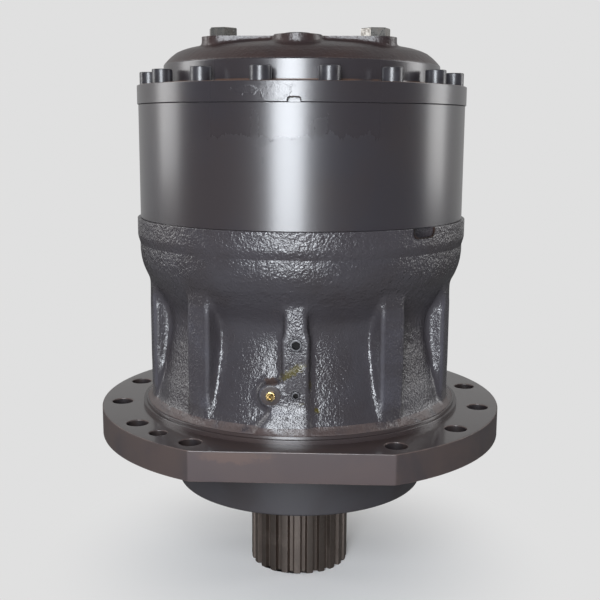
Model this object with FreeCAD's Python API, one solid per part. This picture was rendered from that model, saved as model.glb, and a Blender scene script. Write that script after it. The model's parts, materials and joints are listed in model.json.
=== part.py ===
import FreeCAD, Part
import math
import os
from FreeCAD import Vector

# Excavator swing gearbox, in millimetres. Two planetary stages share one ring gear.
# The origin is on the output axis at the underside of the mounting flange.
# +Z points up, towards the motor, and the flat of the mounting flange faces -Y.
# Angles round the axis are in degrees, counted from the front (-Y) towards +X.

# Clearances
SLIP = 0.05
SEAT_GAP = 0.3
RUNNING = 0.05
BOLT_CLEARANCE = 0.75
SCREW_HEAD_GAP = 0.5
HOLE_BEYOND_SCREW = 3.0
CUT_PAST = 1.0

# Foot of the housing and its mounting flange, from the casting outwards
FOOT_NECK_RADIUS = 191.0
FOOT_FLARE = 17.0
FOOT_RING_WIDTH = 6.0
FOOT_RING_HEIGHT = 5.0
FOOT_EDGE = 3.0
FOOT_NECK_RISE = 12.0
FLANGE_HOLE_INSET = 18.5
FLANGE_HOLE_EDGE = 25.5
FLANGE_FLAT_DEPTH = 26.5
FLANGE_THICKNESS = 36.0
FOOT_RADIUS = FOOT_NECK_RADIUS + FOOT_FLARE
FOOT_RING_RADIUS = FOOT_RADIUS + FOOT_RING_WIDTH
FLANGE_HOLE_CIRCLE = FOOT_RING_RADIUS + FLANGE_HOLE_INSET
FLANGE_RADIUS = FLANGE_HOLE_CIRCLE + FLANGE_HOLE_EDGE
FLANGE_FLAT = FLANGE_RADIUS - FLANGE_FLAT_DEPTH
FOOT_RING_TOP = FLANGE_THICKNESS + FOOT_RING_HEIGHT
FOOT_EDGE_HEIGHT = FOOT_RING_TOP + FOOT_EDGE
FOOT_NECK_HEIGHT = FOOT_EDGE_HEIGHT + FOOT_NECK_RISE
FLANGE_EDGE_CHAMFER = 1.5
FLANGE_HOLE_DIAMETER = 26.0
FLANGE_HOLE_CHAMFER = 1.0
FLANGE_HOLE_FIRST = 30.0
FLANGE_HOLE_PITCH = 25.0
FLANGE_HOLES_PER_SIDE = 6
JACK_HOLE_DIAMETER = 21.0
JACK_HOLE_ANGLES = (-43.0, 142.5)

# Gear train
MODULE = 5.0
PRESSURE_ANGLE = 20.0
ADDENDUM = 0.8
DEDENDUM = 1.1
BACKLASH = 0.2
OUTPUT_SUN_TEETH = 18
OUTPUT_PLANET_TEETH = 24
OUTPUT_PLANETS = 4
FIRST_PLANET_TEETH = 27
FIRST_PLANETS = 3
RING_TEETH = OUTPUT_SUN_TEETH + 2 * OUTPUT_PLANET_TEETH
FIRST_SUN_TEETH = RING_TEETH - 2 * FIRST_PLANET_TEETH
OUTPUT_CENTRES = MODULE * (OUTPUT_SUN_TEETH + OUTPUT_PLANET_TEETH) / 2
FIRST_CENTRES = MODULE * (FIRST_SUN_TEETH + FIRST_PLANET_TEETH) / 2
RING_ROOT = MODULE * (RING_TEETH / 2 + DEDENDUM)
RING_TIP = MODULE * (RING_TEETH / 2 - ADDENDUM)

# Casings, from the ring gear outwards
SPIGOT_WALL = 7.5
SPIGOT_HEIGHT = 6.0
SPIGOT_LIP = 6.0
SCREW_INNER_WALL = 11.5
SCREW_OUTER_WALL = 14.2
BAND_PROUD = 4.1
COVER_PROUD = 1.5
CASING_CHAMFER = 1.0
SPIGOT_RADIUS = RING_ROOT + SPIGOT_WALL
COVER_BOLT_CIRCLE = SPIGOT_RADIUS + SCREW_INNER_WALL
RING_GEAR_RADIUS = COVER_BOLT_CIRCLE + SCREW_OUTER_WALL
BAND_RADIUS = RING_GEAR_RADIUS + BAND_PROUD
COVER_FLANGE_RADIUS = RING_GEAR_RADIUS + COVER_PROUD
HOUSING_TOP = 276.0
RING_GEAR_HEIGHT = 138.0
COVER_FLANGE_HEIGHT = 23.0
RING_GEAR_TOP = HOUSING_TOP + RING_GEAR_HEIGHT
COVER_FLANGE_TOP = RING_GEAR_TOP + COVER_FLANGE_HEIGHT
SEAL_RING_DEPTH = 2.5
SEAL_RING_HEIGHT = 3.0

# Cast body of the lower housing. The bell's points are radii of its outer face
# and how far each lies below the shoulder; the skirt's are radii and heights.
BAND_HEIGHT = 23.5
BAND_STEP = 2.8
BAND_STEP_HEIGHT = 6.5
SHOULDER_DROP = 40.0
BELL_POINTS = ((202.0, 18.0), (193.0, 37.5), (183.0, 54.0), (175.0, 69.0))
WAIST_RADIUS = 172.5
WAIST_DROP = 88.0
SKIRT_POINTS = ((176.5, 115.0), (181.5, 90.0), (186.0, 74.0))
FOOT_CURVE_OUT = 5.0
FOOT_CURVE_UP = 4.5
CAST_WALL = 25.0
POCKET_FLOOR_WIDTH = 14.0
POCKET_LIP = 8.0
SHOULDER_HEIGHT = HOUSING_TOP - SHOULDER_DROP
WAIST_HEIGHT = SHOULDER_HEIGHT - WAIST_DROP

# Ribs round the waist
RIB_POSITIONS = 10
RIB_FACE_RADIUS = 193.0
RIB_FACE_WIDTH = 33.0
RIB_ROOT_WIDTH = 36.0
RIB_DROP = 37.0
RIB_FILLET = 7.0
RIB_TOP = SHOULDER_HEIGHT - RIB_DROP

# Machined pad on the front of the waist, with its boss and plugs
PAD_FACE = 190.0
PAD_CENTRE = 2.5
PAD_DROP = 8.0
PAD_NARROW_WIDTH = 26.0
PAD_WIDTH = 31.0
PAD_NARROW_HEIGHT = 29.0
PAD_TAPER = 8.0
PAD_BOTTOM = 75.0
PAD_BLOCK_HEIGHT = 28.0
PAD_SLOPE_INSET = 4.0
PAD_TOP = RIB_TOP - PAD_DROP
PAD_SHOULDER = PAD_TOP - PAD_NARROW_HEIGHT
PAD_BLOCK_TOP = PAD_BOTTOM + PAD_BLOCK_HEIGHT
PAD_SLOPE_FOOT = FOOT_RADIUS - PAD_SLOPE_INSET
UPPER_PLUG_DROP = 15.4
UPPER_PLUG_HEIGHT = PAD_SHOULDER - UPPER_PLUG_DROP
UPPER_PLUG_DIAMETER = 14.6
LOWER_PLUG_RISE = 13.4
LOWER_PLUG_HEIGHT = PAD_BOTTOM + LOWER_PLUG_RISE
LOWER_PLUG_DIAMETER = 9.8
PLUG_LENGTH = 12.0
PLUG_SUNK = 0.5
PLUG_SOCKET_DEPTH = 4.0
NIPPLE_X = -26.0
NIPPLE_RISE = 13.0
NIPPLE_HEIGHT = PAD_BOTTOM + NIPPLE_RISE
NIPPLE_BOSS_DIAMETER = 29.0
NIPPLE_SPOT_DIAMETER = 24.0
NIPPLE_SPOT_DEPTH = 1.0
NIPPLE_FLATS = 9.0
NIPPLE_HEXAGON_HEIGHT = 4.5
NIPPLE_THREAD = 8.0
NIPPLE_LENGTH = 12.0
NIPPLE_NECK_RADIUS = 2.6
NIPPLE_BALL_RADIUS = 3.6
NIPPLE_TIP_RADIUS = 1.2
NIPPLE_HEAD_LENGTH = 8.5

# Notches for a pry bar at the two seams
HOUSING_NOTCH_ANGLE = 44.7
HOUSING_NOTCH_WIDTH = 36.0
HOUSING_NOTCH_HEIGHT = 10.0
COVER_NOTCH_WIDTH = 15.0
COVER_NOTCH_HEIGHT = 5.5
NOTCH_DEPTH = 5.0
NOTCH_STRAIGHT = 0.55
NOTCH_CORNER = 0.45

# Socket head screws through the cover and the ring gear
COVER_SCREWS = 16
COVER_SCREW_DIAMETER = 16.0
COVER_SCREW_HEAD_DIAMETER = 24.0
COVER_SCREW_HEAD = 16.0
COVER_SCREW_SOCKET = 14.0
COVER_SCREW_GRIP = 36.0
SCREW_CHAMFER = 1.2

# Top cover. The dome's points are how far each lies inside the neck and above it.
COVER_NECK_FILLET = 5.0
COVER_NECK_HEIGHT = 25.0
DOME_POINTS = ((4.8, 5.0), (15.4, 14.0), (29.0, 19.0), (48.0, 24.5))
COVER_WALL = 12.0
COVER_ROOF_RISE = 6.0
COVER_ROOF_SLOPE = 5.0
COVER_ROOF_SHOULDER = 16.0
COVER_ROOF_INSET = 40.0
MOTOR_PAD_RISE = 28.0
MOTOR_PAD_THICKNESS = 14.0
MOTOR_PILOT_RADIUS = 100.0
MOTOR_PILOT_DEPTH = 12.0
MOTOR_PILOT_LEDGE = 15.0
MOTOR_BOLT_WALL = 25.0
MOTOR_LUG_RADIUS = 25.0
MOTOR_THREAD_DIAMETER = 20.0
MOTOR_THREAD_DEPTH = 32.0
MOTOR_THREAD_FLOOR = 4.0
MOTOR_THREAD_WALL = 10.0
MOTOR_BOLT_FLATS = 30.0
MOTOR_BOLT_HEAD = 10.5
MOTOR_BOLT_CHAMFER = 1.6
MOTOR_BOLT_SHORT = 2.0
MOTOR_BOLT_TURNS = {-45.0: 12.0, 45.0: 40.0}
PORT_BOSS_RADIUS = 28.0
PORT_BOSS_WALL = 21.0
PORT_BOSS_LENGTH = 26.0
PORT_PLUG_DIAMETER = 29.5
PORT_PLUG_PROUD = 2.0
PORT_PLUG_LENGTH = 16.0
PORT_PLUG_SOCKET = 10.0
PORT_PLUG_SOCKET_DEPTH = 7.0
PORT_THREAD_DIAMETER = 22.0
COVER_NECK_RADIUS = COVER_BOLT_CIRCLE - COVER_SCREW_HEAD_DIAMETER / 2 - COVER_NECK_FILLET - SCREW_HEAD_GAP
COVER_NECK_TOP = COVER_FLANGE_TOP + COVER_NECK_HEIGHT
COVER_ROOF = COVER_NECK_TOP + COVER_ROOF_RISE
MOTOR_PAD_TOP = COVER_NECK_TOP + MOTOR_PAD_RISE
MOTOR_BOLT_CIRCLE = MOTOR_PILOT_RADIUS + MOTOR_BOLT_WALL
MOTOR_WELL_RADIUS = MOTOR_PILOT_RADIUS - MOTOR_PILOT_LEDGE
PORT_BOSS_CENTRE = MOTOR_PILOT_RADIUS + PORT_BOSS_WALL
PORT_BOSS_BOTTOM = MOTOR_PAD_TOP - PORT_BOSS_LENGTH
DOWEL_DIAMETER = 12.0
DOWEL_HALF_LENGTH = 14.0

# Output carrier and its planets
CARRIER_GAP = 11.0
OUTPUT_HUB_RADIUS = 86.0
OUTPUT_HUB_HEIGHT = 32.0
OUTPUT_PLATE_THICKNESS = 36.0
OUTPUT_FACE = 56.0
OUTPUT_TOP_PLATE = 11.0
OUTPUT_PIN_DIAMETER = 50.0
OUTPUT_BUSH_WALL = 10.0
OUTPUT_POST_RADIUS = 20.0
POST_INSET = 2.0
PIN_FLOOR = 6.0
SUN_OPENING = 7.0
CARRIER_RADIUS = RING_TIP - CARRIER_GAP
OUTPUT_PLATE_BOTTOM = HOUSING_TOP - OUTPUT_PLATE_THICKNESS

# Tapered roller bearings: bore, outside, width and the angle of the rollers
LOWER_BEARING_BORE = 140.0
LOWER_BEARING_OUTSIDE = 225.0
LOWER_BEARING_WIDTH = 68.0
LOWER_BEARING_BOTTOM = -50.0
LOWER_BEARING_ROLLERS = 20
UPPER_BEARING_BORE = 120.0
UPPER_BEARING_OUTSIDE = 215.0
UPPER_BEARING_WIDTH = 58.0
UPPER_BEARING_BOTTOM = OUTPUT_PLATE_BOTTOM - OUTPUT_HUB_HEIGHT - UPPER_BEARING_WIDTH
UPPER_BEARING_ROLLERS = 17
ROLLER_SHARE = 0.42
ROLLER_ANGLE = 14.0
ROLLER_LENGTH = 0.66
ROLLER_PLAY = 0.15
CAGE_THICKNESS = 5.0
CAGE_INSET = 0.08
CAGE_WINDOW_PLAY = 1.0
BEARING_SHOULDER = 10.0
BEARING_SHOULDER_HEIGHT = 12.0
BEARING_HUB_WALL = 22.0

# Shaft seal and its cover in the nose, from the bearing outwards
SEAL_WIDTH = 14.0
SEAL_SECTION = 15.0
SEAL_SUNK = 1.5
SEAL_CASE = 3.0
SEAL_FLOOR = 4.0
SEAL_COVER_LIP = 4.0
SEAL_COVER_THICKNESS = 18.0
SEAL_SCREWS = 12
SEAL_SCREW_DIAMETER = 10.0
SEAL_SCREW_HEAD_DIAMETER = 16.0
SEAL_SCREW_HEAD = 10.0
SEAL_SCREW_SUNK = 1.0
SEAL_SCREW_SOCKET = 8.0
SEAL_SCREW_GRIP = 20.0
SEAL_SCREW_WALL = 15.5
SEAL_COVER_EDGE = 12.0
NOSE_WALL = 20.0
NOSE_CHAMFER = 2.5
SEAL_SCREW_CIRCLE = LOWER_BEARING_OUTSIDE / 2 + SEAL_SCREW_WALL
SEAL_COVER_RADIUS = SEAL_SCREW_CIRCLE + SEAL_COVER_EDGE
NOSE_RADIUS = SEAL_COVER_RADIUS + NOSE_WALL
NOSE_DEPTH = SEAL_COVER_THICKNESS - LOWER_BEARING_BOTTOM

# Output shaft
SHAFT_END = -187.5
SPLINE_TEETH = 24
SPLINE_TIP = 64.5
SPLINE_DEPTH = 5.5
SPLINE_LAND = 7.3
SPLINE_FLOOR = 4.6
SPLINE_RELIEF = 6.0
SPLINE_END_CHAMFER = 2.0
COLLAR_WALL = 5.0
COLLAR_PROUD = 4.0
COLLAR_CHAMFER = 2.0
SHAFT_RELIEF = 4.0
SHAFT_TAPER = 6.0
HUB_SPLINE_TEETH = 22
HUB_SPLINE_RELIEF = 2.0
HUB_SPLINE_DEPTH = 5.0
SPLINE_ROOT = SPLINE_TIP - SPLINE_DEPTH
COLLAR_RADIUS = LOWER_BEARING_BORE / 2 + COLLAR_WALL
COLLAR_BOTTOM = -NOSE_DEPTH - COLLAR_PROUD
SPLINE_TOP = COLLAR_BOTTOM - SPLINE_RELIEF
SHAFT_WAIST_RADIUS = LOWER_BEARING_BORE / 2 - SHAFT_RELIEF
HUB_SPLINE_TIP = UPPER_BEARING_BORE / 2 - HUB_SPLINE_RELIEF
HUB_SPLINE_ROOT = HUB_SPLINE_TIP - HUB_SPLINE_DEPTH

# Plate on the shaft's upper end, in a pocket of the output carrier
END_PLATE_RADIUS = 66.0
END_PLATE_THICKNESS = 8.0
END_PLATE_POCKET = 20.0
SHAFT_TOP_GAP = 0.5
END_SCREWS = 4
END_SCREW_DIAMETER = 12.0
END_SCREW_CIRCLE = 38.0
END_SCREW_GRIP = 26.0
END_SCREW_HEAD_DIAMETER = 18.0
END_SCREW_HEAD = 12.0
THRUST_WASHER = 1.7
WASHER_RIM = 4.0
SUN_PAD_RADIUS = 24.0
SUN_RISE = 2.0

# First carrier and its planets
CARRIER_SPACE = 3.0
FIRST_PLATE_THICKNESS = 14.0
FIRST_FACE = 38.0
FIRST_TOP_PLATE = 10.0
FIRST_PIN_DIAMETER = 44.0
FIRST_BUSH_WALL = 8.0
FIRST_POST_RADIUS = 24.0
FIRST_PIN_FLOOR = 4.0
FIRST_CAP_BORE_RADIUS = 60.0
INPUT_PAD_RADIUS = 21.0

# Input sun gear
INPUT_SHANK_RADIUS = 29.0
INPUT_DROP = 34.0
INPUT_TOP = MOTOR_PAD_TOP - INPUT_DROP
INPUT_SPLINE_TEETH = 16
INPUT_SPLINE_TIP = 17.5
INPUT_SPLINE_ROOT = 20.0
INPUT_SPLINE_DEPTH = 48.0

# Heights that follow from the values above
OUTPUT_PLATE_TOP = OUTPUT_PLATE_BOTTOM + OUTPUT_PLATE_THICKNESS
OUTPUT_GEAR_BOTTOM = OUTPUT_PLATE_TOP + THRUST_WASHER + SEAT_GAP
OUTPUT_GEAR_TOP = OUTPUT_GEAR_BOTTOM + OUTPUT_FACE
OUTPUT_CAP_BOTTOM = OUTPUT_GEAR_TOP + SEAT_GAP + THRUST_WASHER
OUTPUT_CAP_TOP = OUTPUT_CAP_BOTTOM + OUTPUT_TOP_PLATE
FIRST_PLATE_BOTTOM = OUTPUT_CAP_TOP + CARRIER_SPACE
FIRST_PLATE_TOP = FIRST_PLATE_BOTTOM + FIRST_PLATE_THICKNESS
FIRST_GEAR_BOTTOM = FIRST_PLATE_TOP + THRUST_WASHER + SEAT_GAP
FIRST_GEAR_TOP = FIRST_GEAR_BOTTOM + FIRST_FACE
FIRST_CAP_BOTTOM = FIRST_GEAR_TOP + SEAT_GAP + THRUST_WASHER
FIRST_CAP_TOP = FIRST_CAP_BOTTOM + FIRST_TOP_PLATE
END_PLATE_FLOOR = OUTPUT_PLATE_TOP - END_PLATE_POCKET
END_PLATE_TOP = END_PLATE_FLOOR + END_PLATE_THICKNESS
SHAFT_TOP = END_PLATE_FLOOR - SHAFT_TOP_GAP
SUN_BOTTOM = OUTPUT_GEAR_BOTTOM + SUN_RISE
LOWER_BEARING_TOP = LOWER_BEARING_BOTTOM + LOWER_BEARING_WIDTH
UPPER_BEARING_TOP = UPPER_BEARING_BOTTOM + UPPER_BEARING_WIDTH
WEB_BOTTOM = UPPER_BEARING_BOTTOM - BEARING_SHOULDER_HEIGHT
SPIGOT_BOTTOM = HOUSING_TOP - SPIGOT_HEIGHT
COVER_SPIGOT_BOTTOM = RING_GEAR_TOP - SPIGOT_HEIGHT
SEAL_BOTTOM = -NOSE_DEPTH + SEAL_SUNK
SEAL_TOP = SEAL_BOTTOM + SEAL_WIDTH
SEAL_RADIUS = COLLAR_RADIUS + SEAL_SECTION

Z = Vector(0, 0, 1)
FRONT = Vector(0, -1, 0)
BACK = Vector(0, 1, 0)


def polar(radius, angle, height=0.0):
    a = math.radians(angle)
    return Vector(radius * math.sin(a), -radius * math.cos(a), height)


def from_x(radius, angle, height=0.0):
    a = math.radians(angle)
    return Vector(radius * math.cos(a), radius * math.sin(a), height)


def rod(radius, bottom, top, at=Vector(0, 0, 0)):
    return Part.makeCylinder(radius, top - bottom, Vector(at.x, at.y, bottom), Z)


def ring(outer, inner, bottom, top, at=Vector(0, 0, 0)):
    return rod(outer, bottom, top, at).cut(rod(inner, bottom, top, at))


def edges_through(points):
    corners = [Vector(r, 0, z) for r, z in points]
    return [Part.makeLine(a, b) for a, b in zip(corners, corners[1:])]


def turned(edges):
    face = Part.Face(Part.Wire(edges))
    return face.revolve(Vector(0, 0, 0), Z, 360)


def turned_outline(points):
    return turned(edges_through(list(points) + [points[0]]))


def smooth_edge(points):
    curve = Part.BSplineCurve()
    curve.interpolate([Vector(r, 0, z) for r, z in points])
    return curve.toShape()


def prism(points, bottom, top):
    wire = Part.makePolygon([Vector(p.x, p.y, bottom) for p in list(points) + [points[0]]])
    return Part.Face(wire).extrude(Vector(0, 0, top - bottom))


def hexagon(flats, bottom, top, at=Vector(0, 0, 0), turn=0.0):
    corner = flats / math.sqrt(3)
    points = [at + from_x(corner, turn + 60 * i) for i in range(6)]
    return prism(points, bottom, top)


def chamfered_head(radius, bottom, top, chamfer, at):
    """A round head whose upper edge is chamfered."""
    head = turned_outline([
        (0, bottom), (radius, bottom), (radius, top - chamfer), (radius - chamfer, top), (0, top)])
    head.translate(at)
    return head


def around(make, angles):
    return [make(angle) for angle in angles]


def save(node, *solids):
    shape = solids[0] if len(solids) == 1 else Part.makeCompound(list(solids))
    for solid in shape.Solids:
        if not solid.isValid():
            raise ValueError(node + " has a solid that isn't valid")
    if len(shape.Solids) == 1:
        shape = shape.Solids[0]
    shape.exportStep(os.path.join("parts", node + ".step"))


# Toothed outlines

def involute(angle):
    return math.tan(angle) - angle


def flank_half_angle(teeth, radius, backlash):
    """Half the angle of a tooth at a radius; below the base circle the flank is radial."""
    pitch = MODULE * teeth / 2
    base = pitch * math.cos(math.radians(PRESSURE_ANGLE))
    at_radius = math.acos(min(1.0, base / radius))
    start = math.pi / (2 * teeth) + involute(math.radians(PRESSURE_ANGLE))
    return math.degrees(start - involute(at_radius) - backlash / (2 * pitch))


def gear_outline(teeth, inner, outer, backlash, turn, centre=Vector(0, 0, 0)):
    pitch = MODULE * teeth / 2
    radii = (inner, pitch, outer)
    halves = [flank_half_angle(teeth, radius, backlash) for radius in radii]
    points = []
    for tooth in range(teeth):
        middle = turn + 360.0 * tooth / teeth
        for radius, half in zip(radii, halves):
            points.append(centre + from_x(radius, middle - half))
        for radius, half in zip(reversed(radii), reversed(halves)):
            points.append(centre + from_x(radius, middle + half))
    return points


def external_gear(teeth, bottom, top, turn, centre=Vector(0, 0, 0)):
    pitch = MODULE * teeth / 2
    inner = pitch - DEDENDUM * MODULE
    outer = pitch + ADDENDUM * MODULE
    return prism(gear_outline(teeth, inner, outer, BACKLASH, turn, centre), bottom, top)


def spline_outline(teeth, root, tip, land, floor, turn):
    """Straight-sided spline: land and floor are the angles of a tooth's top and a gap's foot."""
    foot = 360.0 / teeth - floor
    points = []
    for tooth in range(teeth):
        middle = turn + 360.0 * tooth / teeth
        points.append(from_x(root, middle - foot / 2))
        points.append(from_x(tip, middle - land / 2))
        points.append(from_x(tip, middle + land / 2))
        points.append(from_x(root, middle + foot / 2))
    return points


def even_spline(teeth, root, tip, grow):
    """A spline whose teeth and gaps share the pitch; grow widens each tooth at both flanks."""
    widen = math.degrees(2 * grow / tip)
    pitch = 360.0 / teeth
    land = 0.4 * pitch + widen
    floor = 0.4 * pitch - widen
    return spline_outline(teeth, root + grow, tip + grow, land, floor, 0.0)


def planet_turn(angle, planet_teeth):
    return angle * (1 - RING_TEETH / planet_teeth)


def sun_turn(sun_teeth, planet_teeth):
    """Where a sun tooth lies so that its gap faces the tooth of the planet at angle 0."""
    gap = 180.0 * planet_teeth / sun_teeth
    return gap + 180.0 / sun_teeth


def planet_angles(count):
    return [360.0 * i / count for i in range(count)]


def post_angles(count):
    return [360.0 * (i + 0.5) / count for i in range(count)]


def screw_angles():
    return [360.0 * (i + 0.5) / COVER_SCREWS for i in range(COVER_SCREWS)]


def dowel_angles():
    return (90.0, -90.0)


# Lower housing

def cast_body():
    """The bell-shaped body: a plain foot, a waist, a wide shoulder and the top band."""
    band_bottom = HOUSING_TOP - BAND_HEIGHT
    step_bottom = band_bottom - BAND_STEP_HEIGHT
    shoulder = BAND_RADIUS - BAND_STEP
    foot = [(0, 0), (NOSE_RADIUS, 0), (FOOT_RING_RADIUS, 0)]
    foot += [(FOOT_RING_RADIUS, FOOT_RING_TOP)]
    foot += [(FOOT_RADIUS, FOOT_RING_TOP), (FOOT_RADIUS, FOOT_EDGE_HEIGHT)]
    neck = [(FOOT_RADIUS, FOOT_EDGE_HEIGHT)]
    neck += [(FOOT_NECK_RADIUS + FOOT_CURVE_OUT, FOOT_EDGE_HEIGHT + FOOT_CURVE_UP)]
    neck += [(FOOT_NECK_RADIUS, FOOT_NECK_HEIGHT)]
    bell = [(FOOT_NECK_RADIUS, FOOT_NECK_HEIGHT)]
    bell += list(reversed(SKIRT_POINTS))
    bell += [(WAIST_RADIUS, WAIST_HEIGHT)]
    bell += [(radius, SHOULDER_HEIGHT - drop) for radius, drop in reversed(BELL_POINTS)]
    bell += [(shoulder, SHOULDER_HEIGHT)]
    band = [(shoulder, SHOULDER_HEIGHT), (shoulder, step_bottom), (BAND_RADIUS, band_bottom)]
    band += [(BAND_RADIUS, HOUSING_TOP - CASING_CHAMFER), (BAND_RADIUS - CASING_CHAMFER, HOUSING_TOP)]
    band += [(0, HOUSING_TOP), (0, 0)]
    edges = edges_through(foot) + [smooth_edge(neck), smooth_edge(bell)] + edges_through(band)
    return turned(edges)


def mounting_flange():
    chamfer = FLANGE_EDGE_CHAMFER
    plate = turned_outline([
        (0, 0), (FLANGE_RADIUS - chamfer, 0), (FLANGE_RADIUS, chamfer),
        (FLANGE_RADIUS, FLANGE_THICKNESS - chamfer),
        (FLANGE_RADIUS - chamfer, FLANGE_THICKNESS), (0, FLANGE_THICKNESS)])
    width = 2 * FLANGE_RADIUS
    depth = FLANGE_RADIUS + FLANGE_FLAT
    keep = Part.makeBox(width, depth, FLANGE_THICKNESS, Vector(-width / 2, -FLANGE_FLAT, 0))
    return plate.common(keep)


def nose():
    return turned_outline([
        (0, -NOSE_DEPTH), (NOSE_RADIUS - NOSE_CHAMFER, -NOSE_DEPTH),
        (NOSE_RADIUS, -NOSE_DEPTH + NOSE_CHAMFER), (NOSE_RADIUS, 0), (0, 0)])


def rib(angle):
    """A rib that narrows outwards, with rounded corners and a rounded top."""
    inner = WAIST_RADIUS - CAST_WALL / 2
    root = RIB_ROOT_WIDTH / 2
    face = RIB_FACE_WIDTH / 2
    outer = RIB_FACE_RADIUS + CUT_PAST
    outline = [
        Vector(-root, -inner, 0), Vector(root, -inner, 0),
        Vector(face, -outer, 0), Vector(-face, -outer, 0)]
    block = prism(outline, FLANGE_THICKNESS, RIB_TOP)
    block = block.common(rod(RIB_FACE_RADIUS, FLANGE_THICKNESS, RIB_TOP))
    rounded = []
    for edge in block.Edges:
        box = edge.BoundBox
        is_face_corner = box.ZLength > 1 and box.YMax < -inner - 1
        is_top_corner = box.ZMin > RIB_TOP - 1 and box.YMin < -inner - 1
        if is_face_corner or is_top_corner:
            rounded.append(edge)
    block = block.makeFillet(RIB_FILLET, rounded)
    block.rotate(Vector(0, 0, 0), Z, angle)
    return block


def upright(points, back, face):
    """A plate with an outline in X and Z, from y = -back out to y = -face."""
    corners = [Vector(x, -back, z) for x, z in points]
    wire = Part.makePolygon(corners + [corners[0]])
    return Part.Face(wire).extrude(FRONT * (face - back))


def front_pad():
    back = WAIST_RADIUS - CAST_WALL / 2
    narrow = PAD_NARROW_WIDTH / 2
    wide = PAD_WIDTH / 2
    taper_foot = PAD_SHOULDER - PAD_TAPER
    stem = upright([
        (PAD_CENTRE - wide, PAD_BOTTOM), (PAD_CENTRE + wide, PAD_BOTTOM),
        (PAD_CENTRE + wide, taper_foot), (PAD_CENTRE + narrow, PAD_SHOULDER),
        (PAD_CENTRE + narrow, PAD_TOP), (PAD_CENTRE - narrow, PAD_TOP),
        (PAD_CENTRE - narrow, PAD_SHOULDER), (PAD_CENTRE - wide, taper_foot)], back, PAD_FACE)
    boss_radius = NIPPLE_BOSS_DIAMETER / 2
    boss = Part.makeCylinder(
        boss_radius, PAD_FACE - back, Vector(NIPPLE_X, -back, NIPPLE_HEIGHT), FRONT)
    block = upright([
        (NIPPLE_X, PAD_BOTTOM), (PAD_CENTRE + wide, PAD_BOTTOM),
        (PAD_CENTRE + wide, PAD_BLOCK_TOP), (NIPPLE_X, NIPPLE_HEIGHT + boss_radius)], back, PAD_FACE)
    side = [
        Vector(0, -back, FOOT_RING_TOP), Vector(0, -PAD_SLOPE_FOOT, FOOT_RING_TOP),
        Vector(0, -PAD_SLOPE_FOOT, FOOT_EDGE_HEIGHT), Vector(0, -PAD_FACE, PAD_BOTTOM),
        Vector(0, -back, PAD_BOTTOM)]
    left = NIPPLE_X - boss_radius
    wedge = Part.Face(Part.makePolygon(side + [side[0]]))
    wedge.translate(Vector(left, 0, 0))
    slope = wedge.extrude(Vector(PAD_CENTRE + wide - left, 0, 0))
    return [stem, boss, block, slope]


def housing_cavity():
    """Bearing seats, the hollow between them and the open top that holds the output carrier."""
    lower_seat = LOWER_BEARING_OUTSIDE / 2
    upper_seat = UPPER_BEARING_OUTSIDE / 2
    lower_shoulder = lower_seat - BEARING_SHOULDER
    upper_shoulder = upper_seat - BEARING_SHOULDER
    hollow = WAIST_RADIUS - CAST_WALL
    hollow_bottom = LOWER_BEARING_TOP + BEARING_SHOULDER_HEIGHT
    hub = upper_seat + BEARING_HUB_WALL
    pocket = UPPER_BEARING_BOTTOM + BEARING_HUB_WALL
    bell_radius, bell_drop = BELL_POINTS[1]
    below = -NOSE_DEPTH - CUT_PAST
    above = HOUSING_TOP + CUT_PAST
    return turned_outline([
        (0, below), (SEAL_COVER_RADIUS, below),
        (SEAL_COVER_RADIUS, LOWER_BEARING_BOTTOM), (lower_seat, LOWER_BEARING_BOTTOM),
        (lower_seat, LOWER_BEARING_TOP), (lower_shoulder, LOWER_BEARING_TOP),
        (lower_shoulder, hollow_bottom), (hollow, hollow_bottom + CAST_WALL),
        (hollow, WEB_BOTTOM - CAST_WALL / 2), (upper_shoulder, WEB_BOTTOM),
        (upper_shoulder, UPPER_BEARING_BOTTOM), (upper_seat, UPPER_BEARING_BOTTOM),
        (upper_seat, UPPER_BEARING_TOP), (hub, UPPER_BEARING_TOP),
        (hub, pocket), (hub + POCKET_FLOOR_WIDTH, pocket),
        (bell_radius - CAST_WALL, SHOULDER_HEIGHT - bell_drop),
        (SPIGOT_RADIUS, SHOULDER_HEIGHT - POCKET_LIP), (SPIGOT_RADIUS, above), (0, above)])


def flange_hole_angles():
    side = [FLANGE_HOLE_FIRST + FLANGE_HOLE_PITCH * i for i in range(FLANGE_HOLES_PER_SIDE)]
    return side + [-angle for angle in side] + [180.0]


def chamfered_hole(radius, chamfer, at, bottom, top):
    wide = radius + chamfer
    hole = rod(radius, bottom, top, at)
    low = Part.makeCone(wide, radius, chamfer, Vector(at.x, at.y, bottom), Z)
    high = Part.makeCone(radius, wide, chamfer, Vector(at.x, at.y, top - chamfer), Z)
    return hole.fuse([low, high])


def flange_hole(angle, diameter):
    at = polar(FLANGE_HOLE_CIRCLE, angle)
    return chamfered_hole(diameter / 2, FLANGE_HOLE_CHAMFER, at, 0, FLANGE_THICKNESS)


def seam_notch(angle, radius, seam, width, height):
    """A D-shaped notch in the outer face, open at the seam."""
    half = width / 2
    corner = min(half, abs(height)) * NOTCH_CORNER
    straight = height * NOTCH_STRAIGHT
    outline = [(-half, 0), (half, 0), (half, straight)]
    outline += [(half - corner, height), (corner - half, height), (-half, straight)]
    plate = upright(outline, radius - NOTCH_DEPTH, radius + NOTCH_DEPTH)
    plate.translate(Vector(0, 0, seam))
    plate.rotate(Vector(0, 0, 0), Z, angle)
    return plate


def plug_hole(x, height, radius):
    start = Vector(x, -PAD_FACE - CUT_PAST, height)
    depth = NIPPLE_SPOT_DEPTH + PLUG_LENGTH + HOLE_BEYOND_SCREW
    return Part.makeCylinder(radius, depth + CUT_PAST, start, BACK)


def tapped_hole(radius, top, depth, at):
    return rod(radius, top - depth, top + CUT_PAST, at)


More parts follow.
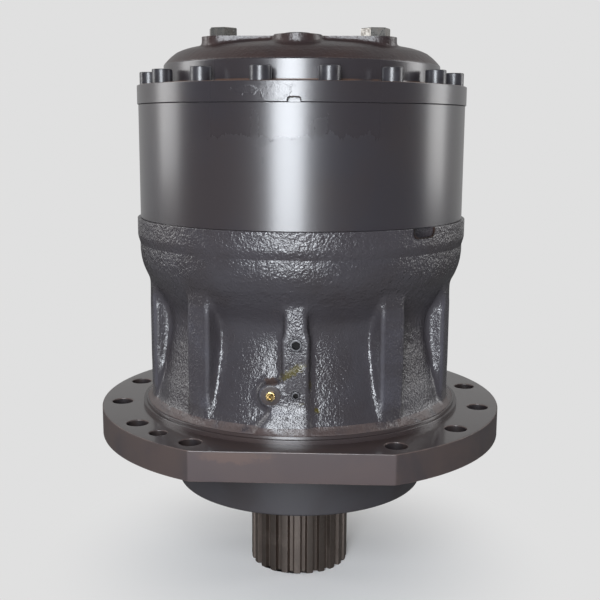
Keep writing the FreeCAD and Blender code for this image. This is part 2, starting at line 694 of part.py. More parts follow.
def lower_housing():
    """The ribbed casting; the front pad stands where the first of the ribs would be."""
    ribs = around(rib, [360.0 * i / RIB_POSITIONS for i in range(1, RIB_POSITIONS)])
    body = cast_body().fuse([mounting_flange(), nose()] + ribs + front_pad())
    holes = [flange_hole(angle, FLANGE_HOLE_DIAMETER) for angle in flange_hole_angles()]
    holes += [flange_hole(angle, JACK_HOLE_DIAMETER) for angle in JACK_HOLE_ANGLES]
    depth = COVER_SCREW_GRIP + HOLE_BEYOND_SCREW
    for angle in screw_angles():
        at = polar(COVER_BOLT_CIRCLE, angle)
        holes.append(tapped_hole(COVER_SCREW_DIAMETER / 2, HOUSING_TOP, depth, at))
    for angle in dowel_angles():
        at = polar(COVER_BOLT_CIRCLE, angle)
        radius = DOWEL_DIAMETER / 2 + SLIP
        holes.append(tapped_hole(radius, HOUSING_TOP, DOWEL_HALF_LENGTH + SEAT_GAP, at))
    for angle in seal_screw_angles():
        at = polar(SEAL_SCREW_CIRCLE, angle)
        start = LOWER_BEARING_BOTTOM
        end = start + SEAL_SCREW_GRIP + HOLE_BEYOND_SCREW
        holes.append(rod(SEAL_SCREW_DIAMETER / 2, start - CUT_PAST, end, at))
    holes.append(seam_notch(
        HOUSING_NOTCH_ANGLE, BAND_RADIUS, HOUSING_TOP, HOUSING_NOTCH_WIDTH, -HOUSING_NOTCH_HEIGHT))
    holes.append(plug_hole(PAD_CENTRE, UPPER_PLUG_HEIGHT, UPPER_PLUG_DIAMETER / 2 + SLIP))
    holes.append(plug_hole(PAD_CENTRE, LOWER_PLUG_HEIGHT, LOWER_PLUG_DIAMETER / 2 + SLIP))
    holes.append(plug_hole(NIPPLE_X, NIPPLE_HEIGHT, NIPPLE_THREAD / 2 + SLIP))
    spot = Vector(NIPPLE_X, -PAD_FACE + NIPPLE_SPOT_DEPTH, NIPPLE_HEIGHT)
    spot_length = NIPPLE_SPOT_DEPTH + CUT_PAST
    holes.append(Part.makeCylinder(NIPPLE_SPOT_DIAMETER / 2, spot_length, spot, FRONT))
    return body.cut([housing_cavity()] + holes).removeSplitter()


def pad_plug(height, diameter):
    """A headless plug with a hexagon socket, just under the face of the pad."""
    radius = diameter / 2
    start = Vector(PAD_CENTRE, -PAD_FACE + PLUG_SUNK, height)
    body = Part.makeCylinder(radius, PLUG_LENGTH, start, BACK)
    socket = hexagon(radius, 0, PLUG_SOCKET_DEPTH)
    socket.rotate(Vector(0, 0, 0), Vector(1, 0, 0), -90)
    socket.translate(start)
    return body.cut(socket)


def grease_nipple():
    """Turned body with a hexagon and a ball end, pointing out of the boss."""
    thread = NIPPLE_THREAD / 2
    base = NIPPLE_HEXAGON_HEIGHT
    step = NIPPLE_HEAD_LENGTH / 6
    tip = base + NIPPLE_HEAD_LENGTH
    body = turned_outline([
        (0, -NIPPLE_LENGTH), (thread, -NIPPLE_LENGTH), (thread, base),
        (NIPPLE_NECK_RADIUS, base + step), (NIPPLE_NECK_RADIUS, base + 2 * step),
        (NIPPLE_BALL_RADIUS, base + 3 * step), (NIPPLE_BALL_RADIUS, base + 4 * step),
        (NIPPLE_TIP_RADIUS, tip), (0, tip)])
    body = body.fuse(hexagon(NIPPLE_FLATS, 0, base))
    body.rotate(Vector(0, 0, 0), Vector(1, 0, 0), 90)
    body.translate(Vector(NIPPLE_X, -PAD_FACE + NIPPLE_SPOT_DEPTH, NIPPLE_HEIGHT))
    return body.removeSplitter()


# Ring gear

def ring_gear():
    """The toothed middle casing, with a spigot below and a socket for the cover's above."""
    spigot = SPIGOT_RADIUS - SLIP
    chamfer = CASING_CHAMFER
    blank = turned_outline([
        (0, SPIGOT_BOTTOM), (spigot, SPIGOT_BOTTOM), (spigot, HOUSING_TOP),
        (RING_GEAR_RADIUS - chamfer, HOUSING_TOP), (RING_GEAR_RADIUS, HOUSING_TOP + chamfer),
        (RING_GEAR_RADIUS, RING_GEAR_TOP - chamfer), (RING_GEAR_RADIUS - chamfer, RING_GEAR_TOP),
        (0, RING_GEAR_TOP)])
    teeth = gear_outline(RING_TEETH, RING_TIP, RING_ROOT, -BACKLASH, 0.0)
    cuts = [prism(teeth, SPIGOT_BOTTOM - CUT_PAST, RING_GEAR_TOP + CUT_PAST)]
    cuts.append(rod(SPIGOT_RADIUS, COVER_SPIGOT_BOTTOM, RING_GEAR_TOP + CUT_PAST))
    hole = COVER_SCREW_DIAMETER / 2 + BOLT_CLEARANCE
    for angle in screw_angles():
        cuts.append(rod(hole, HOUSING_TOP, RING_GEAR_TOP, polar(COVER_BOLT_CIRCLE, angle)))
    for angle in dowel_angles():
        at = polar(COVER_BOLT_CIRCLE, angle)
        top = HOUSING_TOP + DOWEL_HALF_LENGTH + SEAT_GAP
        cuts.append(rod(DOWEL_DIAMETER / 2 + SLIP, HOUSING_TOP, top, at))
    cuts.append(seal_groove(SPIGOT_BOTTOM))
    return blank.cut(cuts).removeSplitter()


def seal_groove(bottom):
    start = bottom + (SPIGOT_HEIGHT - SEAL_RING_HEIGHT) / 2
    outer = SPIGOT_RADIUS + CUT_PAST
    return ring(outer, SPIGOT_RADIUS - SLIP - SEAL_RING_DEPTH, start, start + SEAL_RING_HEIGHT)


def seal_ring(bottom):
    start = bottom + (SPIGOT_HEIGHT - SEAL_RING_HEIGHT) / 2
    return ring(SPIGOT_RADIUS, SPIGOT_RADIUS - SLIP - SEAL_RING_DEPTH, start, start + SEAL_RING_HEIGHT)


def dowel(angle):
    at = polar(COVER_BOLT_CIRCLE, angle)
    return rod(DOWEL_DIAMETER / 2, HOUSING_TOP - DOWEL_HALF_LENGTH, HOUSING_TOP + DOWEL_HALF_LENGTH, at)


# Top cover

def motor_bolt_places():
    return [polar(MOTOR_BOLT_CIRCLE, 45.0 + 90.0 * i) for i in range(4)]


def cover_shell():
    """Flange, neck and domed roof, with a fillet where the neck meets the flange."""
    fillet = COVER_NECK_FILLET
    chamfer = CASING_CHAMFER
    spigot = SPIGOT_RADIUS - SLIP
    first = [
        (0, COVER_SPIGOT_BOTTOM), (spigot, COVER_SPIGOT_BOTTOM), (spigot, RING_GEAR_TOP),
        (COVER_FLANGE_RADIUS - chamfer, RING_GEAR_TOP),
        (COVER_FLANGE_RADIUS, RING_GEAR_TOP + chamfer),
        (COVER_FLANGE_RADIUS, COVER_FLANGE_TOP - chamfer),
        (COVER_FLANGE_RADIUS - chamfer, COVER_FLANGE_TOP),
        (COVER_NECK_RADIUS + fillet, COVER_FLANGE_TOP)]
    fillet_end = Vector(COVER_NECK_RADIUS, 0, COVER_FLANGE_TOP + fillet)
    bow = fillet * (1 - math.sqrt(0.5))
    fillet_middle = Vector(COVER_NECK_RADIUS + bow, 0, COVER_FLANGE_TOP + bow)
    fillet_start = Vector(COVER_NECK_RADIUS + fillet, 0, COVER_FLANGE_TOP)
    arc = Part.Arc(fillet_start, fillet_middle, fillet_end).toShape()
    neck = [(COVER_NECK_RADIUS, COVER_FLANGE_TOP + fillet), (COVER_NECK_RADIUS, COVER_NECK_TOP)]
    dome = [(COVER_NECK_RADIUS, COVER_NECK_TOP)]
    dome += [(COVER_NECK_RADIUS - inset, COVER_NECK_TOP + rise) for inset, rise in DOME_POINTS]
    last_height = dome[-1][1]
    roof = [dome[-1], (0, last_height), (0, COVER_SPIGOT_BOTTOM)]
    edges = edges_through(first) + [arc] + edges_through(neck) + [smooth_edge(dome)]
    return turned(edges + edges_through(roof))


def motor_pad():
    """The rounded square that the motor stands on."""
    bottom = MOTOR_PAD_TOP - MOTOR_PAD_THICKNESS
    centre = MOTOR_BOLT_CIRCLE * math.sqrt(0.5)
    reach = centre + MOTOR_LUG_RADIUS
    long = Part.makeBox(2 * reach, 2 * centre, MOTOR_PAD_THICKNESS, Vector(-reach, -centre, bottom))
    wide = Part.makeBox(2 * centre, 2 * reach, MOTOR_PAD_THICKNESS, Vector(-centre, -reach, bottom))
    lugs = [rod(MOTOR_LUG_RADIUS, bottom, MOTOR_PAD_TOP, at) for at in motor_bolt_places()]
    return [long, wide] + lugs


def cover_cavity():
    inner = COVER_NECK_RADIUS - COVER_WALL
    lip = SPIGOT_RADIUS - SPIGOT_LIP
    below = COVER_SPIGOT_BOTTOM - CUT_PAST
    return turned_outline([
        (0, below), (lip, below), (lip, RING_GEAR_TOP),
        (inner, RING_GEAR_TOP + SPIGOT_LIP), (inner, COVER_NECK_TOP - COVER_WALL),
        (inner - COVER_ROOF_SHOULDER, COVER_ROOF - COVER_ROOF_SLOPE),
        (inner - COVER_ROOF_INSET, COVER_ROOF), (0, COVER_ROOF)])


def top_cover():
    """Flange, neck and dome with the motor pad, bolt lugs inside and the port in its own boss."""
    port = Vector(0, -PORT_BOSS_CENTRE, 0)
    above = MOTOR_PAD_TOP + CUT_PAST
    port_boss = rod(PORT_BOSS_RADIUS, PORT_BOSS_BOTTOM, MOTOR_PAD_TOP, port)
    shell = cover_shell().fuse(motor_pad() + [port_boss])
    shell = shell.cut(cover_cavity())
    lug_radius = MOTOR_THREAD_DIAMETER / 2 + MOTOR_THREAD_WALL
    under = MOTOR_PAD_TOP - MOTOR_THREAD_DEPTH - MOTOR_THREAD_FLOOR
    lugs = [rod(lug_radius, under, COVER_ROOF + CUT_PAST, at) for at in motor_bolt_places()]
    shell = shell.fuse(lugs)
    cuts = [rod(MOTOR_WELL_RADIUS, COVER_SPIGOT_BOTTOM, above)]
    cuts.append(rod(MOTOR_PILOT_RADIUS, MOTOR_PAD_TOP - MOTOR_PILOT_DEPTH, above))
    for at in motor_bolt_places():
        cuts.append(tapped_hole(MOTOR_THREAD_DIAMETER / 2, MOTOR_PAD_TOP, MOTOR_THREAD_DEPTH, at))
    cuts.append(rod(PORT_THREAD_DIAMETER / 2, RING_GEAR_TOP, above, port))
    hole = COVER_SCREW_DIAMETER / 2 + BOLT_CLEARANCE
    for angle in screw_angles():
        at = polar(COVER_BOLT_CIRCLE, angle)
        cuts.append(rod(hole, RING_GEAR_TOP - CUT_PAST, COVER_FLANGE_TOP + CUT_PAST, at))
    cuts.append(seam_notch(
        0.0, COVER_FLANGE_RADIUS, RING_GEAR_TOP, COVER_NOTCH_WIDTH, COVER_NOTCH_HEIGHT))
    cuts.append(seal_groove(COVER_SPIGOT_BOTTOM))
    return shell.cut(cuts).removeSplitter()


def cover_screw(angle):
    at = polar(COVER_BOLT_CIRCLE, angle)
    bottom = HOUSING_TOP - COVER_SCREW_GRIP
    shank = rod(COVER_SCREW_DIAMETER / 2 - SLIP, bottom, COVER_FLANGE_TOP + CUT_PAST, at)
    top = COVER_FLANGE_TOP + COVER_SCREW_HEAD
    radius = COVER_SCREW_HEAD_DIAMETER / 2
    head = chamfered_head(radius, COVER_FLANGE_TOP, top, SCREW_CHAMFER, at)
    socket = hexagon(COVER_SCREW_SOCKET, top - COVER_SCREW_HEAD / 2, top + CUT_PAST, at, angle)
    return shank.fuse(head).cut(socket)


def motor_bolt(angle, turn):
    """A hexagon bolt whose corners are chamfered round the top."""
    at = polar(MOTOR_BOLT_CIRCLE, angle)
    bottom = MOTOR_PAD_TOP - MOTOR_THREAD_DEPTH + MOTOR_BOLT_SHORT
    top = MOTOR_PAD_TOP + MOTOR_BOLT_HEAD
    shank = rod(MOTOR_THREAD_DIAMETER / 2 - SLIP, bottom, MOTOR_PAD_TOP + CUT_PAST, at)
    corner = MOTOR_BOLT_FLATS / math.sqrt(3)
    crown = Part.makeCone(corner, MOTOR_BOLT_FLATS / 2, MOTOR_BOLT_CHAMFER)
    crown.translate(Vector(at.x, at.y, top - MOTOR_BOLT_CHAMFER))
    round_head = rod(corner, MOTOR_PAD_TOP, top - MOTOR_BOLT_CHAMFER, at).fuse(crown)
    head = hexagon(MOTOR_BOLT_FLATS, MOTOR_PAD_TOP, top, at, turn).common(round_head)
    return shank.fuse(head).removeSplitter()


def port_plug():
    at = Vector(0, -PORT_BOSS_CENTRE, 0)
    top = MOTOR_PAD_TOP + PORT_PLUG_PROUD
    head = chamfered_head(PORT_PLUG_DIAMETER / 2, MOTOR_PAD_TOP, top, PORT_PLUG_PROUD / 2, at)
    bottom = MOTOR_PAD_TOP - PORT_PLUG_LENGTH
    shank = rod(PORT_THREAD_DIAMETER / 2 - SLIP, bottom, MOTOR_PAD_TOP + CUT_PAST, at)
    socket = hexagon(PORT_PLUG_SOCKET, top - PORT_PLUG_SOCKET_DEPTH, top + CUT_PAST, at)
    return head.fuse(shank).cut(socket)


# Tapered roller bearings

class Taper:
    """The cones that a bearing's races and rollers share: all meet at one apex on the axis."""

    def __init__(self, bore, outside, width, bottom, wide_end_up):
        self.bore = bore / 2
        self.outside = outside / 2
        self.width = width
        self.bottom = bottom
        self.sign = 1.0 if wide_end_up else -1.0
        self.middle = bottom + width / 2
        self.mean = (self.bore + self.outside) / 2
        self.roller = ROLLER_SHARE * (self.outside - self.bore) / 2
        tilt = math.radians(ROLLER_ANGLE)
        self.reach = self.mean / math.sin(tilt)
        self.half = math.atan(self.roller / self.reach)
        self.tilt = tilt
        self.apex = self.middle - self.sign * self.mean / math.tan(tilt)

    def race_radius(self, height, outer):
        angle = self.tilt + self.half if outer else self.tilt - self.half
        return abs(height - self.apex) * math.tan(angle)

    def ends(self):
        return self.bottom, self.bottom + self.width

    def outer_race(self):
        low, high = self.ends()
        return turned_outline([
            (self.outside - SLIP, low), (self.outside - SLIP, high),
            (self.race_radius(high, True), high), (self.race_radius(low, True), low)])

    def inner_race(self):
        low, high = self.ends()
        return turned_outline([
            (self.bore + SLIP, low), (self.bore + SLIP, high),
            (self.race_radius(high, False), high), (self.race_radius(low, False), low)])

    def roller_at(self, angle, grow, length):
        direction = Vector(math.sin(self.tilt), 0, self.sign * math.cos(self.tilt))
        start = self.reach - length / 2
        end = self.reach + length / 2
        small = start * math.tan(self.half) + grow
        large = end * math.tan(self.half) + grow
        base = Vector(0, 0, self.apex) + direction * start
        body = Part.makeCone(small, large, length, base, direction)
        body.rotate(Vector(0, 0, 0), Z, angle)
        return body

    def rollers(self, count):
        length = self.width * ROLLER_LENGTH
        return [self.roller_at(360.0 * i / count, -ROLLER_PLAY, length) for i in range(count)]

    def cage(self, count):
        """A thin cone between the races, with a window for each roller."""
        inset = self.width * CAGE_INSET
        low = self.bottom + inset
        high = self.bottom + self.width - inset
        half = CAGE_THICKNESS / 2
        shell = turned_outline([
            (self.pitch_radius(low) - half, low), (self.pitch_radius(low) + half, low),
            (self.pitch_radius(high) + half, high), (self.pitch_radius(high) - half, high)])
        length = self.width * ROLLER_LENGTH + CAGE_WINDOW_PLAY
        angles = [360.0 * i / count for i in range(count)]
        return shell.cut([self.roller_at(angle, SEAT_GAP, length) for angle in angles])

    def pitch_radius(self, height):
        return abs(height - self.apex) * math.tan(self.tilt)


def save_bearing(name, bearing, rollers):
    save(name + "_outer_race", bearing.outer_race())
    save(name + "_inner_race", bearing.inner_race())
    save(name + "_rollers", *bearing.rollers(rollers))
    save(name + "_cage", bearing.cage(rollers))


# Shaft seal

def seal_screw_angles():
    return [360.0 * i / SEAL_SCREWS for i in range(SEAL_SCREWS)]


def seal_cover():
    low = -NOSE_DEPTH
    high = LOWER_BEARING_BOTTOM
    below = low - CUT_PAST
    plate = ring(SEAL_COVER_RADIUS - SLIP, SEAL_RADIUS - SEAL_COVER_LIP, low, high)
    cuts = [rod(SEAL_RADIUS, below, SEAL_TOP)]
    seat = low + SEAL_SCREW_HEAD + SEAL_SCREW_SUNK
    for angle in seal_screw_angles():
        at = polar(SEAL_SCREW_CIRCLE, angle)
        cuts.append(rod(SEAL_SCREW_DIAMETER / 2 + BOLT_CLEARANCE, below, high + CUT_PAST, at))
        cuts.append(rod(SEAL_SCREW_HEAD_DIAMETER / 2 + BOLT_CLEARANCE, below, seat, at))
    return plate.cut(cuts)


def seal_screw(angle):
    at = polar(SEAL_SCREW_CIRCLE, angle)
    under = -NOSE_DEPTH + SEAL_SCREW_SUNK
    seat = under + SEAL_SCREW_HEAD
    head = rod(SEAL_SCREW_HEAD_DIAMETER / 2, under, seat, at)
    end = LOWER_BEARING_BOTTOM + SEAL_SCREW_GRIP
    shank = rod(SEAL_SCREW_DIAMETER / 2 - SLIP, seat - CUT_PAST, end, at)
    socket = hexagon(SEAL_SCREW_SOCKET, under - CUT_PAST, under + SEAL_SCREW_HEAD / 2, at)
    return head.fuse(shank).cut(socket)


def shaft_seal():
    """A lip seal: an outer case, a thin floor and the lip that rubs on the collar."""
    case = SEAL_RADIUS - SLIP
    case_inner = case - SEAL_CASE
    lip = COLLAR_RADIUS + RUNNING
    floor = SEAL_BOTTOM + SEAL_FLOOR
    back = lip + SEAL_SECTION / 3
    return turned_outline([
        (case, SEAL_BOTTOM), (case, SEAL_TOP), (case_inner, SEAL_TOP), (case_inner, floor),
        (back + SEAL_CASE, floor), (back, SEAL_TOP - CUT_PAST), (lip, SEAL_TOP - SEAL_FLOOR),
        (lip, floor), (back, SEAL_BOTTOM)])


# Output shaft and what turns with it

def tooth_gaps(outline, root, tip, bottom, top):
    """What is cut from a plain shaft to leave the teeth of an outline standing."""
    blank = ring(tip + CUT_PAST, root - CUT_PAST, bottom, top)
    return blank.cut(prism(outline, bottom - CUT_PAST, top + CUT_PAST))


def output_shaft():
    """Splined end, seal collar, bearing seats with a waist between them and the hub spline."""
    collar_top = LOWER_BEARING_BOTTOM
    collar_inner = COLLAR_RADIUS - COLLAR_CHAMFER
    lower_seat = LOWER_BEARING_BORE / 2
    upper_seat = UPPER_BEARING_BORE / 2
    blank = turned_outline([
        (0, SHAFT_END), (SPLINE_TIP - SPLINE_END_CHAMFER, SHAFT_END),
        (SPLINE_TIP, SHAFT_END + SPLINE_END_CHAMFER), (SPLINE_TIP, COLLAR_BOTTOM),
        (collar_inner, COLLAR_BOTTOM), (COLLAR_RADIUS, COLLAR_BOTTOM + COLLAR_CHAMFER),
        (COLLAR_RADIUS, collar_top), (lower_seat, collar_top), (lower_seat, LOWER_BEARING_TOP),
        (SHAFT_WAIST_RADIUS, LOWER_BEARING_TOP + SHAFT_RELIEF),
        (SHAFT_WAIST_RADIUS, WEB_BOTTOM - SHAFT_TAPER),
        (upper_seat, WEB_BOTTOM), (upper_seat, UPPER_BEARING_TOP - HUB_SPLINE_RELIEF),
        (HUB_SPLINE_ROOT, UPPER_BEARING_TOP), (HUB_SPLINE_TIP, UPPER_BEARING_TOP),
        (HUB_SPLINE_TIP, SHAFT_TOP), (0, SHAFT_TOP)])
    spline = spline_outline(SPLINE_TEETH, SPLINE_ROOT, SPLINE_TIP, SPLINE_LAND, SPLINE_FLOOR, 90.0)
    hub = even_spline(HUB_SPLINE_TEETH, HUB_SPLINE_ROOT, HUB_SPLINE_TIP, -SLIP)
    cuts = [tooth_gaps(spline, SPLINE_ROOT, SPLINE_TIP, SHAFT_END - CUT_PAST, SPLINE_TOP)]
    cuts.append(tooth_gaps(
        hub, HUB_SPLINE_ROOT, HUB_SPLINE_TIP, UPPER_BEARING_TOP, SHAFT_TOP + CUT_PAST))
    depth = END_SCREW_GRIP + HOLE_BEYOND_SCREW
    for angle in end_screw_angles():
        at = polar(END_SCREW_CIRCLE, angle)
        cuts.append(tapped_hole(END_SCREW_DIAMETER / 2, SHAFT_TOP, depth, at))
    return blank.cut(cuts).removeSplitter()


def end_screw_angles():
    return [360.0 * i / END_SCREWS for i in range(END_SCREWS)]


def output_carrier():
    """Two plates joined by posts between the planets, and a splined hub on the shaft."""
    lower = rod(CARRIER_RADIUS, OUTPUT_PLATE_BOTTOM, OUTPUT_PLATE_TOP)
    hub = rod(OUTPUT_HUB_RADIUS, UPPER_BEARING_TOP, OUTPUT_PLATE_BOTTOM + CUT_PAST)
    upper = rod(CARRIER_RADIUS, OUTPUT_CAP_BOTTOM, OUTPUT_CAP_TOP)
    posts = carrier_posts(OUTPUT_PLANETS, OUTPUT_POST_RADIUS, OUTPUT_PLATE_TOP, OUTPUT_CAP_BOTTOM)
    body = lower.fuse([hub, upper] + posts)
    teeth = even_spline(HUB_SPLINE_TEETH, HUB_SPLINE_ROOT, HUB_SPLINE_TIP, SLIP)
    opening = MODULE * (OUTPUT_SUN_TEETH / 2 + ADDENDUM) + SUN_OPENING
    above = OUTPUT_CAP_TOP + CUT_PAST
    cuts = [prism(teeth, UPPER_BEARING_TOP - CUT_PAST, END_PLATE_FLOOR + CUT_PAST)]
    cuts.append(rod(END_PLATE_RADIUS, END_PLATE_FLOOR, OUTPUT_PLATE_TOP + CUT_PAST))
    cuts.append(rod(opening, OUTPUT_CAP_BOTTOM - CUT_PAST, above))
    pin_floor = OUTPUT_PLATE_BOTTOM + PIN_FLOOR
    for angle in planet_angles(OUTPUT_PLANETS):
        at = from_x(OUTPUT_CENTRES, angle)
        cuts.append(rod(OUTPUT_PIN_DIAMETER / 2 + SLIP, pin_floor, above, at))
    return body.cut(cuts).removeSplitter()


def carrier_posts(planets, radius, bottom, top):
    circle = CARRIER_RADIUS - radius - POST_INSET
    return [rod(radius, bottom, top, from_x(circle, angle)) for angle in post_angles(planets)]


def planet_pin(centres, angle, diameter, bottom, top):
    return rod(diameter / 2, bottom, top, from_x(centres, angle))


def output_pin(angle):
    bottom = OUTPUT_PLATE_BOTTOM + PIN_FLOOR
    return planet_pin(OUTPUT_CENTRES, angle, OUTPUT_PIN_DIAMETER, bottom, OUTPUT_CAP_TOP)


def washers(centres, angle, pin, bush_wall, low, high):
    """One thin washer under a planet and one over it, each on its carrier plate."""
    at = from_x(centres, angle)
    inner = pin / 2 + SEAT_GAP
    outer = pin / 2 + bush_wall + WASHER_RIM
    return [
        ring(outer, inner, low, low + THRUST_WASHER, at),
        ring(outer, inner, high - THRUST_WASHER, high, at)]


def planet(centres, teeth, angle, low, high, bore):
    at = from_x(centres, angle)
    gear = external_gear(teeth, low, high, planet_turn(angle, teeth), at)
    return gear.cut(rod(bore, low - CUT_PAST, high + CUT_PAST, at))


def planet_bush(centres, angle, low, high, pin, bush_wall):
    at = from_x(centres, angle)
    return ring(pin / 2 + bush_wall - SLIP, pin / 2 + RUNNING, low, high, at)


def end_plate():
    plate = rod(END_PLATE_RADIUS - SLIP, END_PLATE_FLOOR, END_PLATE_TOP)
    hole = END_SCREW_DIAMETER / 2 + BOLT_CLEARANCE
    below = END_PLATE_FLOOR - CUT_PAST
    above = END_PLATE_TOP + CUT_PAST
    places = [polar(END_SCREW_CIRCLE, angle) for angle in end_screw_angles()]
    return plate.cut([rod(hole, below, above, at) for at in places])


def end_screw(angle):
    at = polar(END_SCREW_CIRCLE, angle)
    bottom = END_PLATE_FLOOR - END_SCREW_GRIP
    shank = rod(END_SCREW_DIAMETER / 2 - SLIP, bottom, END_PLATE_TOP + CUT_PAST, at)
    head = rod(END_SCREW_HEAD_DIAMETER / 2, END_PLATE_TOP, END_PLATE_TOP + END_SCREW_HEAD, at)
    return shank.fuse(head)


def output_sun_pad():
    return rod(SUN_PAD_RADIUS, END_PLATE_TOP, SUN_BOTTOM - SEAT_GAP)


# First stage

def first_carrier():
    """Two plates joined by posts; the lower one is toothed inside to fit the output sun."""
    lower = rod(CARRIER_RADIUS, FIRST_PLATE_BOTTOM, FIRST_PLATE_TOP)
    upper = rod(CARRIER_RADIUS, FIRST_CAP_BOTTOM, FIRST_CAP_TOP)
    posts = carrier_posts(FIRST_PLANETS, FIRST_POST_RADIUS, FIRST_PLATE_TOP, FIRST_CAP_BOTTOM)
    body = lower.fuse([upper] + posts)
    pitch = MODULE * OUTPUT_SUN_TEETH / 2
    inner = pitch - DEDENDUM * MODULE + SLIP
    outer = pitch + ADDENDUM * MODULE + SLIP
    turn = sun_turn(OUTPUT_SUN_TEETH, OUTPUT_PLANET_TEETH)
    teeth = gear_outline(OUTPUT_SUN_TEETH, inner, outer, BACKLASH - 4 * SLIP, turn)
    above = FIRST_CAP_TOP + CUT_PAST
    cuts = [prism(teeth, FIRST_PLATE_BOTTOM - CUT_PAST, FIRST_PLATE_TOP + CUT_PAST)]
    cuts.append(rod(FIRST_CAP_BORE_RADIUS, FIRST_CAP_BOTTOM - CUT_PAST, above))
    pin_floor = FIRST_PLATE_BOTTOM + FIRST_PIN_FLOOR
    for angle in planet_angles(FIRST_PLANETS):
        at = from_x(FIRST_CENTRES, angle)
        cuts.append(rod(FIRST_PIN_DIAMETER / 2 + SLIP, pin_floor, above, at))
    return body.cut(cuts).removeSplitter()


def first_pin(angle):
    bottom = FIRST_PLATE_BOTTOM + FIRST_PIN_FLOOR
    return planet_pin(FIRST_CENTRES, angle, FIRST_PIN_DIAMETER, bottom, FIRST_CAP_TOP)


def output_sun():
    turn = sun_turn(OUTPUT_SUN_TEETH, OUTPUT_PLANET_TEETH)
    return external_gear(OUTPUT_SUN_TEETH, SUN_BOTTOM, FIRST_PLATE_TOP, turn)


def input_sun_pad():
    return rod(INPUT_PAD_RADIUS, FIRST_PLATE_TOP, FIRST_GEAR_BOTTOM - SEAT_GAP)


def input_sun():
    turn = sun_turn(FIRST_SUN_TEETH, FIRST_PLANET_TEETH)
    gear = external_gear(FIRST_SUN_TEETH, FIRST_GEAR_BOTTOM, FIRST_GEAR_TOP, turn)
    shank = rod(INPUT_SHANK_RADIUS, FIRST_GEAR_TOP, INPUT_TOP)
    bore = even_spline(INPUT_SPLINE_TEETH, INPUT_SPLINE_TIP, INPUT_SPLINE_ROOT, 0.0)
    return gear.fuse(shank).cut(prism(bore, INPUT_TOP - INPUT_SPLINE_DEPTH, INPUT_TOP + CUT_PAST))


def save_planets(name, count, centres, teeth, low, high, pin, wall):
    for number, angle in enumerate(planet_angles(count), start=1):
        gear = planet(centres, teeth, angle, low, high, pin / 2 + wall)
        save(name + "_planet_" + str(number), gear)
        save(name + "_planet_bush_" + str(number), planet_bush(centres, angle, low, high, pin, wall))


os.makedirs("parts", exist_ok=True)

save("lower_housing", lower_housing())
save("ring_gear", ring_gear())
save("top_cover", top_cover())
save("cover_screws", *around(cover_screw, screw_angles()))
save("dowel_pins", *around(dowel, dowel_angles()))
save("housing_seal_ring", seal_ring(SPIGOT_BOTTOM))
save("cover_seal_ring", seal_ring(COVER_SPIGOT_BOTTOM))
save("motor_bolts", *[motor_bolt(angle, turn) for angle, turn in MOTOR_BOLT_TURNS.items()])
save("port_plug", port_plug())
save("upper_pad_plug", pad_plug(UPPER_PLUG_HEIGHT, UPPER_PLUG_DIAMETER))
save("lower_pad_plug", pad_plug(LOWER_PLUG_HEIGHT, LOWER_PLUG_DIAMETER))
save("grease_nipple", grease_nipple())

lower_bearing = Taper(
    LOWER_BEARING_BORE, LOWER_BEARING_OUTSIDE, LOWER_BEARING_WIDTH, LOWER_BEARING_BOTTOM, False)
upper_bearing = Taper(
    UPPER_BEARING_BORE, UPPER_BEARING_OUTSIDE, UPPER_BEARING_WIDTH, UPPER_BEARING_BOTTOM, True)
save_bearing("lower_bearing", lower_bearing, LOWER_BEARING_ROLLERS)
save_bearing("upper_bearing", upper_bearing, UPPER_BEARING_ROLLERS)
save("seal_cover", seal_cover())
save("seal_cover_screws", *around(seal_screw, seal_screw_angles()))
save("shaft_seal", shaft_seal())

save("output_shaft", output_shaft())
save("output_carrier", output_carrier())
save("output_planet_pins", *around(output_pin, planet_angles(OUTPUT_PLANETS)))
save("shaft_end_plate", end_plate())
save("end_plate_screws", *around(end_screw, end_screw_angles()))
save("output_sun_pad", output_sun_pad())
output_washers = []
for place in planet_angles(OUTPUT_PLANETS):
    output_washers += washers(
        OUTPUT_CENTRES, place, OUTPUT_PIN_DIAMETER, OUTPUT_BUSH_WALL, OUTPUT_PLATE_TOP, OUTPUT_CAP_BOTTOM)
save("output_thrust_washers", *output_washers)
save_planets(
    "output", OUTPUT_PLANETS, OUTPUT_CENTRES, OUTPUT_PLANET_TEETH,
    OUTPUT_GEAR_BOTTOM, OUTPUT_GEAR_TOP, OUTPUT_PIN_DIAMETER, OUTPUT_BUSH_WALL)

save("first_carrier", first_carrier())
save("first_planet_pins", *around(first_pin, planet_angles(FIRST_PLANETS)))
save("output_sun", output_sun())
save("input_sun_pad", input_sun_pad())
first_washers = []
for place in planet_angles(FIRST_PLANETS):
    first_washers += washers(
        FIRST_CENTRES, place, FIRST_PIN_DIAMETER, FIRST_BUSH_WALL, FIRST_PLATE_TOP, FIRST_CAP_BOTTOM)
save("first_thrust_washers", *first_washers)
save_planets(
    "first", FIRST_PLANETS, FIRST_CENTRES, FIRST_PLANET_TEETH,
    FIRST_GEAR_BOTTOM, FIRST_GEAR_TOP, FIRST_PIN_DIAMETER, FIRST_BUSH_WALL)
save("input_sun", input_sun())
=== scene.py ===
# %% [markdown]
# # An excavator swing gearbox
# A swing gearbox turns the upper frame of an excavator. From the top it is a cover
# with a pad for the motor, a ring gear that is also the middle of the casing, and a
# ribbed iron housing with a bolting flange and a splined shaft below. The CAD model
# already holds every gear and bearing, so this script only dresses what can be seen.
# It loads that model first, because all sizes and places are taken from it.

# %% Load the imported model
import json
import math

import bmesh
import bpy
from mathutils import Matrix, Vector


